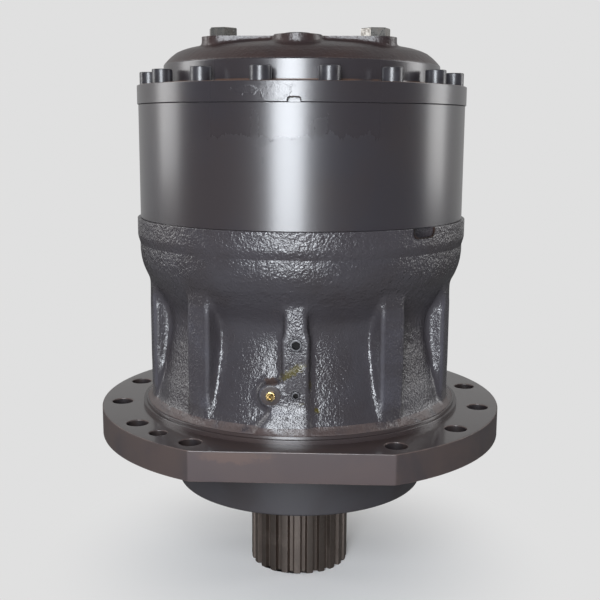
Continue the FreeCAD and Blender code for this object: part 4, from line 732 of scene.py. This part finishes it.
def curvature(mesh):
    """How far each vertex lies inside (+) or outside (-) its neighbours, by edge length."""
    total = [Vector() for _ in mesh.vertices]
    count = [0] * len(mesh.vertices)
    places = [vert.co.copy() for vert in mesh.vertices]
    for edge in mesh.edges:
        a, b = edge.vertices
        total[a] += places[b]
        total[b] += places[a]
        count[a] += 1
        count[b] += 1
    sample = [edge.vertices for edge in mesh.edges[:500]]
    span = sum((places[a] - places[b]).length for a, b in sample) / 500
    return [
        (total[i] / max(1, count[i]) - places[i]).dot(mesh.vertices[i].normal) / span
        for i in range(len(places))]


def spread_out(mesh, values, rounds):
    """Lets values creep to neighbouring vertices, and keeps the larger one."""
    for _ in range(rounds):
        grown = list(values)
        for edge in mesh.edges:
            a, b = edge.vertices
            grown[a] = max(grown[a], values[b] * 0.85)
            grown[b] = max(grown[b], values[a] * 0.85)
        values = grown
    return values


def between_0_and_1(value):
    return min(1.0, max(0.0, value))


def store_edges(mesh, gain=10.0, dead_zone=0.25):
    """Keeps how far each vertex stands out as the attribute that the pale edges, a painted
    highlight with wear, read.
    """
    attribute = mesh.attributes.new("edge", "FLOAT", "POINT")
    attribute.data.foreach_set(
        "value", [between_0_and_1(-bend * gain - dead_zone) for bend in curvature(mesh)])


def soften(piece, name, rounds):
    """Adds a smoothing modifier."""
    made = piece.modifiers.new(name, "SMOOTH")
    made.factor = 0.5
    made.iterations = rounds
    return made


def melt(bm, voxel, rounds, hollow_rounds, spread):
    """Remeshes overlapping solids into one skin and fills its hollows with fillets."""
    outward(bm)
    rough = new_object(bm, "melting")
    remesh = rough.modifiers.new("skin", "REMESH")
    remesh.mode = "VOXEL"
    remesh.voxel_size = voxel * MM
    soften(rough, "soften", rounds)
    skin = applied(rough)
    rough.modifiers.clear()
    rough.data = skin
    hollow = [between_0_and_1(bend * HOLLOW_GAIN) for bend in curvature(skin)]
    group = rough.vertex_groups.new(name="hollows")
    for index, weight in enumerate(spread_out(skin, hollow, spread)):
        if weight > 0.01:
            group.add([index], min(1.0, weight * 1.6), "REPLACE")
    soften(rough, "fillets", hollow_rounds).vertex_group = "hollows"
    made = bmesh_of(applied(rough))
    bpy.data.objects.remove(rough)
    print("melted skin faces:", len(made.faces))
    return made


# %% Bell, ribs and pad
bell = bmesh.new()
turned_ring(bell, BELL + INNER_WALL, 180)
for step in range(1, RIB_PLACES):
    rib = upright_plate(bell, [
        (-RIB_ROOT, RIB_BOTTOM), (RIB_ROOT, RIB_BOTTOM), (RIB_ROOT, RIB_TOP),
        (-RIB_ROOT, RIB_TOP)], RIB_FACE)
    outer = [vert for vert in rib if vert.co.y < -0.19]
    bmesh.ops.scale(bell, vec=(RIB_OUTSIDE / RIB_ROOT, 1, 1), verts=outer)
    place(bell, rib, turn_z=360.0 / RIB_PLACES * step)
    corners = [edge for vert in outer for edge in vert.link_edges
               if edge.calc_length() > 0.1 and edge.other_vert(vert) in outer]
    bevel(bell, list(dict.fromkeys(corners)), 3.0)
half_profile = [(PAD_HALF, 40.0), (PAD_HALF, 154.0), (13.0, 162.0), (13.0, 191.0)]
upright_plate(
    bell, [(PAD_X - PAD_HALF, 40.0)] + [(PAD_X + x, z) for x, z in half_profile]
    + [(PAD_X - x, z) for x, z in half_profile[:0:-1]], PAD_FACE)
boss = rod(bell, 14.5, 37.0)
place(bell, boss, at=(NIPPLE_X, -171.5, NIPPLE_Z), tilt_x=90.0)
upright_plate(bell, [
    (NIPPLE_X, 70.0), (PAD_X + PAD_HALF, 70.0), (PAD_X + PAD_HALF, 103.0),
    (NIPPLE_X, 102.5)], PAD_FACE)
slope = upright_plate(
    bell, [(-44.0, 47.0), (19.5, 47.0), (19.5, 73.0), (-23.0, 73.0)], PAD_FACE + 0.4)
foot = [vert for vert in slope if vert.co.y < -0.18 and vert.co.z < 0.05]
bmesh.ops.translate(bell, verts=foot, vec=(0, -10.0 * MM, 0))
casting = melt(bell, voxel=2.6, rounds=1, hollow_rounds=20, spread=5)

# %% [markdown]
# The two plugs and the grease nipple sit in machined spots, so their recesses are cut
# after the fillets are laid, as in the workshop. A Boolean modifier does that cleanly
# on a dense skin.

# %% Cut the recesses of the pad
def cutters(name, shapes, segments=48):
    """One hidden mesh of round cutters, each (radius, length, centre, tilt)."""
    bm = bmesh.new()
    for radius, length, at, tilt in shapes:
        place(bm, rod(bm, radius, length, segments), at=at, tilt_x=tilt)
    return new_object(bm, name)


def cut_away(bm, tool):
    """Takes a cutter away from what a bmesh holds and returns the new bmesh."""
    blank = new_object(bm, "blank")
    cut = blank.modifiers.new("cut", "BOOLEAN")
    cut.operation = "DIFFERENCE"
    cut.solver = "EXACT"
    cut.object = tool
    made = bmesh_of(applied(blank))
    bpy.data.objects.remove(blank)
    bpy.data.objects.remove(tool)
    return made


casting = cut_away(casting, cutters("recesses", [
    (9.4, 8.0, (PAD_X, -PAD_FACE - 1.4, UPPER_PLUG_Z), 90.0),
    (6.4, 8.0, (PAD_X, -PAD_FACE - 1.6, LOWER_PLUG_Z), 90.0),
    (12.2, 8.0, (NIPPLE_X, -PAD_FACE - 2.7, NIPPLE_Z), 90.0)]))
casting = cut_away(casting, cutters("threaded holes", [
    (7.4, 20.0, (PAD_X, -180.0, UPPER_PLUG_Z), 90.0),
    (5.0, 20.0, (PAD_X, -180.0, LOWER_PLUG_Z), 90.0)]))
housing_casting = finish_piece(casting, "housing_casting", cast_enamel, sharp=50.0)
store_edges(housing_casting.data)
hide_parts("lower_housing")

# %% [markdown]
# ## Housing, the machined faces
# The top band, the foot ring, the flange and the nose are turned or milled. They stay
# crisp, so they are separate spun rings and a filled plate with narrow bevels. The
# band has a notch whose edge is lined with a dark bead, sealant and painted shadow. The
# flange has fifteen holes and one flat side: a disc is cut by a bisect, its outline and
# the hole circles are filled to one face, and that face is raised.

# %% Top band
NOTCH_ANGLE = 44.7


def notch_cutter(name, low, high, width, segments, upper, turn_z=0.0):
    """A hidden box with rounded upper or lower edges along Y, to cut a notch."""
    bm = bmesh.new()
    box_between(bm, low, high)
    middle = (low[2] + high[2]) / 2 * MM
    edges = []
    for edge in bm.edges:
        a, b = (vert.co for vert in edge.verts)
        if abs(a.x - b.x) < 1e-6 and abs(a.z - b.z) < 1e-6 and (a.z > middle) == upper:
            edges.append(edge)
    bevel(bm, edges, width, segments)
    place(bm, bm.verts[:], turn_z=turn_z)
    return new_object(bm, name)


band = bmesh.new()
turned_ring(band, [
    (163.0, 243.5), (204.6, 243.5), (205.3, 245.6), (206.1, 248.2), (207.0, 251.4),
    (207.6, 254.2), (BAND_R, 257.0), (BAND_R, HOUSING_TOP), (178.0, HOUSING_TOP),
    (178.0, 263.0), (163.0, 256.0)])
break_rims(band, [(BAND_R, HOUSING_TOP, 0.9)])
band = cut_away(band, notch_cutter(
    "notch", (-17.5, -214.0, 264.5), (17.5, -195.0, 280.0), 8.5, 8, False, NOTCH_ANGLE))
housing_band = finish_piece(band, "housing_band", band_enamel)
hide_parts("lower_housing")

# %% Sealant and painted shadow round the notch
BEAD_HEIGHT = 2.4
BEAD_SUNK = 1.4


def shadow_and_sealant_bead(name, outline, width, face, turn_z):
    """A thin dark strip along a notch's edge, painted shadow and sealant, through X and Z points
    on a round face.
    """
    bm = bmesh.new()
    middle = (outline[0][1] + outline[-1][1]) / 2
    narrow = 1.0 - width / abs(outline[0][0])
    short = 1.0 - width / abs(outline[len(outline) // 2][1] - middle)
    inner = [(x * narrow, middle + (z - middle) * short) for x, z in outline]
    rows = [[bm.verts.new((x * MM, 0.0, z * MM)) for x, z in line] for line in (outline, inner)]
    sheet = [bm.faces.new(corner) for corner in zip(rows[0], rows[0][1:], rows[1][1:], rows[1])]
    made = bmesh.ops.extrude_face_region(bm, geom=sheet)["geom"]
    bmesh.ops.translate(bm, verts=only(VERT, made), vec=(0, -BEAD_HEIGHT * MM, 0))
    for vert in bm.verts:
        out = math.sqrt((face * MM) ** 2 - vert.co.x ** 2) - BEAD_SUNK * MM
        bmesh.ops.translate(bm, verts=[vert], vec=(0, -out, 0))
    place(bm, bm.verts[:], turn_z=turn_z)
    outward(bm)
    return finish_piece(bm, name, sealant_and_shadow)


# The dark bead round the band's notch is sealant with painted shadow.
notch_sealant_and_shadow = shadow_and_sealant_bead("notch_sealant_and_shadow", [
    (-18.2, 276.0), (-18.2, 270.5), (-17.0, 267.0), (-14.5, 264.8), (-11.0, 264.0),
    (0.0, 264.0), (11.0, 264.0), (14.5, 264.8), (17.0, 267.0), (18.2, 270.5),
    (18.2, 276.0)], 1.5, BAND_R, NOTCH_ANGLE)
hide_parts("lower_housing")

# %% Mounting flange
# The broken edges are rubbed paint, and the walls of the holes are painted near black as painted
# shade.
FLANGE_R = 258.0
FLANGE_TOP = 36.0
FLAT_Y = -231.5
HOLE_CIRCLE = 232.5
HOLE_R = 13.0
JACK_HOLE_R = 10.5
NOSE_R = 160.0
NOSE_BORE = 140.0
NOSE_BOTTOM = -68.0
RUBBED, BORE_SHADE = 1, 2

flange = bmesh.new()
bmesh.ops.create_circle(flange, cap_ends=True, radius=FLANGE_R * MM, segments=240)
bmesh.ops.bisect_plane(
    flange, geom=everything(flange), plane_co=(0, FLAT_Y * MM, 0), plane_no=(0, -1, 0),
    clear_outer=True)
bmesh.ops.delete(flange, geom=flange.faces[:], context="FACES_ONLY")
circle(flange, NOSE_BORE, segments=96)
hole_angles = [30.0 + 25.0 * i for i in range(6)]
hole_angles += [-angle for angle in hole_angles] + [180.0]
for angle in hole_angles:
    circle(flange, HOLE_R, at=polar(HOLE_CIRCLE, angle), segments=40)
for angle in (-43.0, 142.5):
    circle(flange, JACK_HOLE_R, at=polar(HOLE_CIRCLE, angle), segments=40)
fill_between(flange, flange.edges[:])
raise_faces(flange, flange.faces[:], FLANGE_TOP)
outward(flange)
rims = [edge for edge in flange.edges
        if len(edge.link_faces) == 2 and edge.calc_face_angle() > math.radians(60)
        and abs(edge.verts[0].co.z - edge.verts[1].co.z) < 1e-6]
for face in bevel(flange, rims, 1.1, 2, clamp_overlap=True)["faces"]:
    face.material_index = RUBBED
# The walls of the holes take the painted shade.
for face in flange.faces:
    middle = face.calc_center_median()
    upright = abs(face.normal.z) < 0.1 and face.material_index == 0
    if upright and middle.y > -0.2314 and middle.xy.length < 0.2565:
        face.material_index = BORE_SHADE
mounting_flange = finish_piece(
    flange, "mounting_flange", flange_paint, rubbed_paint, bore_shade_paint)
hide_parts("lower_housing")

# %% Foot ring and nose
FOOT_R, STEP_Z = 205.5, 41.0
NECK_RIM_R, NECK_RIM_Z = 201.2, 44.2

foot_ring = bmesh.new()
turned_ring(foot_ring, [
    (150.0, 35.0), (FOOT_R, 35.0), (FOOT_R, STEP_Z), (201.6, STEP_Z),
    (NECK_RIM_R, NECK_RIM_Z), (150.0, NECK_RIM_Z)])
break_rims(foot_ring, [(FOOT_R, STEP_Z, 0.8), (NECK_RIM_R, NECK_RIM_Z, 0.9)])
housing_foot = finish_piece(foot_ring, "housing_foot", foot_paint)
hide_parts("lower_housing")

nose = bmesh.new()
turned_ring(nose, [
    (NOSE_BORE, NOSE_BOTTOM), (NOSE_R, NOSE_BOTTOM), (NOSE_R, 1.0), (NOSE_BORE, 1.0)])
break_rims(nose, [(NOSE_R, NOSE_BOTTOM, 2.5), (NOSE_BORE, NOSE_BOTTOM, 1.0)])
housing_nose = finish_piece(nose, "housing_nose", nose_paint)
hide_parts("lower_housing")

# %% [markdown]
# ## Ring gear casing
# The ring gear's teeth are inside and stay as the CAD node. Its outside is a turned
# face under a wet coat of enamel, and a clean highlight needs a finely divided
# cylinder, so a coat of paint is spun round the node, 0.15 mm proud of it.

# %% Paint coat of the ring gear
COAT_R = 203.85
COAT_BOTTOM = 276.2
COAT_TOP = 413.8

coat = bmesh.new()
turned_ring(
    coat, [(203.0, COAT_BOTTOM), (COAT_R, COAT_BOTTOM), (COAT_R, COAT_TOP), (203.0, COAT_TOP)],
    256)
break_rims(coat, [(COAT_R, COAT_BOTTOM, 0.4), (COAT_R, COAT_TOP, 0.4)], 2)
ring_coat = finish_piece(coat, "ring_coat", gloss_enamel)

# %% [markdown]
# ## Top cover
# The cover is one casting whose flange and neck are turned and whose dome is raw. The
# turned part is a spun ring with a notch for a pry bar, lined with a dark bead of painted
# shadow. The dome, the motor pad and the port boss melt together as the housing did.

# %% Cover flange and neck
COVER_R = 205.2
COVER_BOTTOM = 414.2
COVER_TOP = 437.0
NECK_R = 172.0
NECK_TOP = 462.0

cover = bmesh.new()
turned_ring(cover, [
    (160.0, COVER_BOTTOM), (COVER_R, COVER_BOTTOM), (COVER_R, COVER_TOP), (177.0, COVER_TOP),
    (173.46, 438.46), (NECK_R, 442.0), (NECK_R, NECK_TOP), (168.0, 464.0),
    (160.0, NECK_TOP)], 256)
break_rims(
    cover, [(COVER_R, COVER_BOTTOM, 0.8), (COVER_R, COVER_TOP, 1.2), (NECK_R, NECK_TOP, 1.5)])
cover = cut_away(cover, notch_cutter(
    "d_notch", (-7.5, -212.0, 405.0), (7.5, -199.6, 419.7), 3.0, 5, True))
cover_flange = finish_piece(cover, "cover_flange", gloss_enamel)
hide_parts("top_cover")

# The dark bead round the pry bar notch is painted shadow.
arch_shadow_bead = shadow_and_sealant_bead("arch_shadow_bead", [
    (-7.9, 414.4), (-7.8, 417.2), (-7.0, 419.2), (-5.2, 420.2), (0.0, 420.4), (5.2, 420.2),
    (7.0, 419.2), (7.8, 417.2), (7.9, 414.4)], 1.3, COVER_R, 0.0)
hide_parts("top_cover")

# %% Dome, motor pad and port boss
PAD_TOP = 490.0
LUG_RADIUS = 25.0
BOLT_CIRCLE = 125.0
BOLT_HALF_SPACING = 88.388
PORT_Y = -121.0


def pad_outline(bm, height):
    """The rounded square of the motor pad as one loop of edges."""
    reach = (BOLT_HALF_SPACING + LUG_RADIUS) * MM
    where = Matrix.Translation((0, 0, height * MM))
    made = bmesh.ops.create_grid(bm, x_segments=1, y_segments=1, size=reach, matrix=where)
    bevel(bm, made["verts"], LUG_RADIUS, 14, affect="VERTICES", offset_type="OFFSET")
    bmesh.ops.delete(bm, geom=bm.faces[:], context="FACES_ONLY")


dome = bmesh.new()
pad_outline(dome, 472.0)
circle(dome, 97.0, height=472.0, segments=96)
fill_between(dome, dome.edges[:])
raise_faces(dome, dome.faces[:], 22.0)
turned_ring(dome, [
    (171.7, 455.0), (171.7, 462.0), (167.2, 467.0), (162.5, 471.5), (156.6, 476.0),
    (150.0, 478.9), (143.0, 481.0), (133.0, 483.0), (124.0, 484.4), (97.0, 486.0),
    (97.0, 480.0), (82.0, 480.0), (82.0, 467.0), (120.0, 467.0), (144.0, 462.0),
    (159.0, 452.0)], 180)
boss = rod(dome, 27.5, 28.0, 64)
place(dome, boss, at=(0, PORT_Y, 480.0))
dome = melt(dome, voxel=2.0, rounds=1, hollow_rounds=5, spread=3)

# %% [markdown]
# The cast cover is milled flat at the top of the pad and bored for the motor: a
# bisect takes off the top, one face closes the cut, and cylinders cut the bores.

# %% Mill and bore the motor pad
bmesh.ops.bisect_plane(
    dome, geom=everything(dome), plane_co=(0, 0, PAD_TOP * MM), plane_no=(0, 0, 1),
    clear_outer=True)
fill_between(dome, [edge for edge in dome.edges if edge.is_boundary])
outward(dome)
dome = cut_away(dome, cutters("bores", [(100.0, 24.0, (0, 0, PAD_TOP), 0.0)], 160))
bolt_holes = [(10.0, 60.0, (*polar(BOLT_CIRCLE, 45.0 + 90.0 * i), PAD_TOP), 0.0)
              for i in range(4)]
dome = cut_away(dome, cutters("bores", [(85.0, 60.0, (0, 0, PAD_TOP), 0.0)] + bolt_holes, 96))
cover_dome = finish_piece(dome, "cover_dome", dome_paint, sharp=50.0)
store_edges(cover_dome.data)
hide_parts("top_cover")

# %% [markdown]
# ## Finishes for bolts, shaft and inner parts
# Screw heads carry the same spray as the casing, a little thinner. Gears are ground
# steel under a film of oil, washers and bushes are bronze, and seals are rubber.

# %% Metal finishes
def metal_finish(
        name, colour, stain, roughness, grain_size, grain_depth, metallic=1.0, clouds=2.5):
    """Bare metal with a fine directional grain and soft clouds of oil."""
    net = Finish(name, Metallic=metallic)
    tint = net.stained(colour, stain, clouds)
    net.paint(
        Base_Color=tint["Colour"],
        Roughness=net.ramp(tint["Mask"], 0.0, 0.8, roughness, roughness + 0.14))
    long = net.stretch(net.point(), (1.0, 1.0, 0.06))
    net.bump(net.noise(long, grain_size, 3.0, 0.6), grain_depth, 0.6)
    return net.material


shaft_steel = metal_finish(
    "shaft_steel", (0.30, 0.25, 0.22), (0.19, 0.155, 0.135), 0.38, 900.0, 0.05)
gear_steel = metal_finish(
    "gear_steel", (0.42, 0.42, 0.43), (0.30, 0.28, 0.26), 0.28, 700.0, 0.03)
black_oxide = metal_finish(
    "black_oxide", (0.045, 0.045, 0.05), (0.03, 0.028, 0.028), 0.38, 500.0, 0.04, 0.6)
zinc_plate = metal_finish(
    "zinc_plate", (0.50, 0.48, 0.42), (0.36, 0.33, 0.26), 0.32, 500.0, 0.03)
bolt_steel = metal_finish(
    "bolt_steel", (0.34, 0.33, 0.31), (0.16, 0.14, 0.125), 0.26, 500.0, 0.04, 0.85, 24.0)
brass = metal_finish("brass", (0.80, 0.58, 0.26), (0.50, 0.34, 0.13), 0.26, 500.0, 0.03)
bronze = metal_finish("bronze", (0.52, 0.33, 0.17), (0.36, 0.22, 0.12), 0.34, 500.0, 0.03)
seal_rubber = plain_finish(
    "seal_rubber", 0.6, 0.4, (0.018, 0.018, 0.019), (0.03, 0.028, 0.026), 6.0, 0.6,
    GRAINED_SKIN)
screw_paint = plain_finish(
    "screw_paint", 0.33, 0.95, (0.042, 0.040, 0.046), (0.022, 0.019, 0.021), 9.0, 0.9,
    SCREW_SKIN)
# Near black paint in the hexagon sockets: painted shade in the recesses.
socket_shade = plain_finish(
    "socket_shade", 0.5, 0.12, (0.008, 0.008, 0.009), (0.016, 0.013, 0.012), 12.0, 0.8,
    SOCKET_SKIN)

# %% Finishes of the CAD nodes that stay
FINISHES = {
    "gloss_paint": gloss_enamel, "cast_paint": cast_enamel, "shaft_steel": shaft_steel,
    "gear_steel": gear_steel, "black_oxide": black_oxide, "zinc_plate": zinc_plate,
    "brass": brass, "bronze": bronze, "seal_rubber": seal_rubber}
for slot in frame["record"]["materials"]:
    for name in slot.get("nodes", []):
        materials = nodes[name].data.materials
        materials.clear()
        materials.append(FINISHES[slot["slot"]])
print("finishes given to", sum(len(n.data.materials) for n in nodes.values()), "nodes")

# %% [markdown]
# ## Screws, bolts and plugs
# Sixteen socket head screws hold the cover. One is modelled at the first place: its
# top face is filled between a circle and a hexagon, and the hexagon's rim is pushed
# down for the socket. The spin operator then copies it round the circle.

# %% Socket head screws
SCREW_COUNT = 16
SCREW_CIRCLE = 189.5
SCREW_TURN = 11.25
SOCKET = 1


def socket_head(bm, radius, bottom, top, flats, socket_depth, at, chamfer, segments=40):
    """A round head with a chamfered rim and a hexagon socket, standing on a face."""
    start = len(bm.verts)
    top_face = raise_loop(bm, circle(bm, radius, height=bottom, segments=segments), top - bottom)
    bevel(bm, list(top_face[0].edges), chamfer)
    bm.faces.ensure_lookup_table()
    cap = max(bm.faces[:], key=lambda f: (round(f.calc_center_median().z, 6), f.calc_area()))
    cap_edges = list(cap.edges)
    bmesh.ops.delete(bm, geom=[cap], context="FACES_ONLY")
    hexagon = circle(bm, flats / math.sqrt(3), height=top, segments=6)
    fill_between(bm, cap_edges + hexagon)
    made = bmesh.ops.extrude_edge_only(bm, edges=hexagon)["geom"]
    pushed = only(VERT, made)
    bmesh.ops.translate(bm, verts=pushed, vec=(0, 0, -socket_depth * MM))
    floor = [edge for edge in only(EDGE, made) if all(vert in pushed for vert in edge.verts)]
    bottom_face = bmesh.ops.edgeloop_fill(bm, edges=floor)["faces"]
    # The walls and the floor of the socket take the painted shade.
    for face in only(FACE, made) + bottom_face:
        face.material_index = SOCKET
    bm.verts.ensure_lookup_table()
    place(bm, bm.verts[start:], at=(at[0], at[1], 0.0))


screws = bmesh.new()
socket_head(screws, 12.0, COVER_TOP, 453.0, 14.0, 8.0, (0, 0), 1.3)
raise_loop(screws, circle(screws, 7.9, height=240.0, segments=20), 197.5)
place(screws, screws.verts[:], at=(*polar(SCREW_CIRCLE, SCREW_TURN), 0.0))
repeat_round(screws, SCREW_COUNT)
outward(screws)
cover_screws = finish_piece(
    screws, "cover_screw_heads", screw_paint, socket_shade, sharp=35.0)
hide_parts("cover_screws")

# %% Hexagon bolts on the motor pad
BOLT_FLATS = 30.0

bolts = bmesh.new()
for angle, turn_by in ((-45.0, 12.0), (45.0, 40.0)):
    at = polar(BOLT_CIRCLE, angle)
    raise_loop(bolts, circle(bolts, 14.6, at=at, height=PAD_TOP), 0.9)
    hexagon = circle(
        bolts, BOLT_FLATS / math.sqrt(3), at=at, height=PAD_TOP + 0.8, segments=6,
        turn_by=turn_by)
    top = raise_loop(bolts, hexagon, 9.7)
    bevel(bolts, list(top[0].edges), 1.8, profile=0.6)
    raise_loop(bolts, circle(bolts, 9.9, at=at, height=PAD_TOP - 30.0, segments=32), 30.5)
outward(bolts)
motor_bolts = finish_piece(bolts, "motor_bolt_heads", bolt_steel, sharp=28.0)
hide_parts("motor_bolts")

# %% Port plug
port = bmesh.new()
socket_head(port, 14.75, 489.8, 492.0, 12.0, 6.0, (0.0, PORT_Y), 0.7)
outward(port)
port_plug = finish_piece(port, "port_plug_head", black_oxide, socket_shade, sharp=35.0)
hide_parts("port_plug")

# %% Plugs of the front pad
for name, height, radius, flats in (
        ("upper", UPPER_PLUG_Z, 7.25, 9.2), ("lower", LOWER_PLUG_Z, 4.85, 5.6)):
    plug = bmesh.new()
    socket_head(plug, radius, 0.0, 11.5, flats, 5.0, (0.0, 0.0), 0.6, 32)
    place(plug, plug.verts[:], at=(PAD_X, -178.0, height), tilt_x=90.0)
    outward(plug)
    pad_plug = finish_piece(plug, name + "_plug", screw_paint, socket_shade, sharp=35.0)
    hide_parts(name + "_pad_plug")

# %% Grease nipple
nipple = bmesh.new()
hexagon = circle(nipple, 10.2 / math.sqrt(3), segments=6, turn_by=12.0)
hexagon_top = raise_loop(nipple, hexagon, 4.5)
bevel(nipple, list(hexagon_top[0].edges), 0.6, 2)
profile = chain(nipple, [
    (0.0, -11.0), (4.0, -11.0), (4.0, 4.6), (2.6, 5.9), (2.6, 7.2), (3.5, 8.4), (3.6, 9.4),
    (3.2, 10.6), (2.0, 11.9), (1.2, 12.6), (0.8, 12.2), (0.0, 12.1)], closed=False)
spin(nipple, profile, math.tau, 32, use_merge=True)
bmesh.ops.remove_doubles(nipple, verts=nipple.verts[:], dist=1e-6)
outward(nipple)
place(nipple, nipple.verts[:], at=(NIPPLE_X, -189.0, NIPPLE_Z), tilt_x=90.0)
grease_nipple = finish_piece(nipple, "brass_nipple", brass, sharp=30.0)
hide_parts("grease_nipple")

# %% Spot face round the nipple
spot = bmesh.new()
turned_ring(spot, [(4.6, -4.0), (11.6, -4.0), (11.6, 0.5), (4.6, 0.5)], 64)
break_rims(spot, [(11.6, 0.5, 0.5), (4.6, 0.5, 0.4)], 2)
place(spot, spot.verts[:], at=(NIPPLE_X, -188.9, NIPPLE_Z), tilt_x=90.0)
nipple_spot = finish_piece(spot, "nipple_spot", foot_paint)
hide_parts("lower_housing")

# %% [markdown]
# ## Output shaft
# The shaft ends in an outside spline that drives the swing pinion. One tooth and its
# gap are a few points of a loop; the spin operator copies them 24 times, the loop is
# filled and raised, and the tooth corners are broken with a narrow bevel. The lower
# end gets a chamfer. The smooth part inside the housing is spun as one ring.

# %% Splined end
SPLINE_TEETH = 24
SPLINE_BOTTOM = -187.5
SPLINE_LENGTH = 110.0
TOOTH = [(59.0, -5.2), (64.5, -3.65), (64.5, 0.0), (64.5, 3.65), (59.0, 5.2)]

spline = bmesh.new()
points = []
for radius, angle in TOOTH:
    x, y = polar(radius, angle)
    points.append(spline.verts.new((x * MM, y * MM, SPLINE_BOTTOM * MM)))
for pair in zip(points, points[1:]):
    spline.edges.new(pair)
repeat_round(spline, SPLINE_TEETH)
roots = sorted((vert for vert in spline.verts if len(vert.link_edges) == 1),
               key=lambda vert: math.atan2(vert.co.y, vert.co.x))
for first, second in zip(roots, roots[1:] + roots[:1]):
    if not spline.edges.get((first, second)) and (first.co - second.co).length < 0.008:
        spline.edges.new((first, second))
raise_loop(spline, spline.edges[:], SPLINE_LENGTH)
outward(spline)
corners = [edge for edge in spline.edges
           if abs(edge.verts[0].co.z - edge.verts[1].co.z) > 0.05
           and edge.calc_face_angle(0.0) > math.radians(25)]
bevel(spline, corners, 0.55, 2)
end_rim = [edge for edge in spline.edges if all(vert.co.z < -0.1874 for vert in edge.verts)]
bevel(spline, end_rim, 1.2, 2)
shaft_spline = finish_piece(spline, "shaft_spline", shaft_steel, body="output", sharp=30.0)
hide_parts("output_shaft")

# %% Collar and bearing seats
stem = bmesh.new()
turned_ring(stem, [
    (40.0, -78.0), (63.0, -78.0), (64.5, -76.5), (64.5, -72.0), (73.5, -72.0), (75.0, -70.5),
    (75.0, -50.0), (70.0, -50.0), (70.0, 18.0), (66.0, 22.0), (66.0, 132.0), (60.0, 138.0),
    (60.0, 206.0), (58.0, 208.0), (58.0, 255.5), (40.0, 255.5)], 128)
shaft_stem = finish_piece(stem, "shaft_stem", shaft_steel, body="output", sharp=30.0)
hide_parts("output_shaft")

# %% [markdown]
# ## Floor and light
# The photograph shows the unit against a plain pale ground. One tall soft light just
# left of the camera draws the bright band down the ring. White walls at both sides
# draw the grey bands near its outline, and hang high, so that the bands fade
# downwards. The sky is pale to the camera and behind the object and dark towards the
# front. The floor fades into that same pale tone, so that no horizon shows, and it
# can be seen through from below.

# %% Sky
PALE = 0.745
world = bpy.data.worlds.new("studio")
scene.world = world
world.use_nodes = True
world.node_tree.nodes.clear()
net = Nodes(world.node_tree)
direction = net.add("TexCoord").outputs["Generated"]
behind = net.ramp(net.split(direction)["Y"], -0.25, 0.6, 0.045, 0.42)
room = net.add("Background", {"Color": (1.0, 1.0, 1.0), "Strength": behind})
ground = net.add("Background", {"Color": (PALE, PALE, PALE), "Strength": 1.0})
seen = net.add("LightPath").outputs["Is Camera Ray"]
net.add("OutputWorld", {"Surface": net.mix_shader(seen, room, ground).outputs[0]})

# %% Floor
FLOOR_Z = -187.6

floor_mesh = bmesh.new()
bmesh.ops.create_circle(floor_mesh, cap_ends=True, radius=4.0, segments=96)
bmesh.ops.translate(floor_mesh, verts=floor_mesh.verts[:], vec=(0, 0, FLOOR_Z * MM))
floor = new_object(floor_mesh, "floor")

floor_paint = bpy.data.materials.new("floor_paint")
floor_paint.use_nodes = True
floor_paint.node_tree.nodes.clear()
net = Nodes(floor_paint.node_tree)
distance = net.vector("LENGTH", net.vector("MULTIPLY", net.point(), (1, 1, 0)))
seen = net.add("LightPath").outputs["Is Camera Ray"]
tone = net.mix(seen, (0.19, 0.19, 0.19), (0.93, 0.93, 0.93))
matt = net.add("BsdfDiffuse", {"Color": tone})
glow = net.add("Emission", {"Color": (PALE, PALE, PALE), "Strength": 1.0})
fading = net.mix_shader(net.times(net.ramp(distance, 0.05, 0.36), seen), matt, glow)
below = net.add("NewGeometry").outputs["Backfacing"]
clear = net.add("BsdfTransparent", {"Color": (1.0, 1.0, 1.0)})
both = net.mix_shader(net.times(below, seen), fading, clear)
net.add("OutputMaterial", {"Surface": both.outputs[0]})
floor.data.materials.append(floor_paint)


# %% Lamps
def soft_light(name, azimuth, height, distance, width, tall, power, colour=(1, 1, 1)):
    """A rectangular lamp at an azimuth from the front, aimed at the middle of the unit.

    Lengths are in metres, the power is in watts.
    """
    data = bpy.data.lights.new(name, "AREA")
    data.shape = "RECTANGLE"
    data.size = width
    data.size_y = tall
    data.energy = power
    data.color = colour
    lamp = bpy.data.objects.new(name, data)
    lamp.location = (*polar(distance, azimuth), height)
    aim = Vector((0, 0, 0.2)) - lamp.location
    lamp.rotation_mode = "QUATERNION"
    lamp.rotation_quaternion = aim.to_track_quat("-Z", "Y")
    lamp.visible_camera = False
    scene.collection.objects.link(lamp)


soft_light("front_strip", -6.2, 0.75, 2.6, 0.95, 2.4, 95.0, (0.90, 0.945, 1.0))
soft_light("left_wall", -96.7, 1.06, 2.4, 0.98, 1.84, 19.2)
soft_light("right_wall", 104.0, 1.02, 2.4, 0.9, 1.86, 17.8)

# %% Colour management
scene.view_settings.view_transform = "Standard"
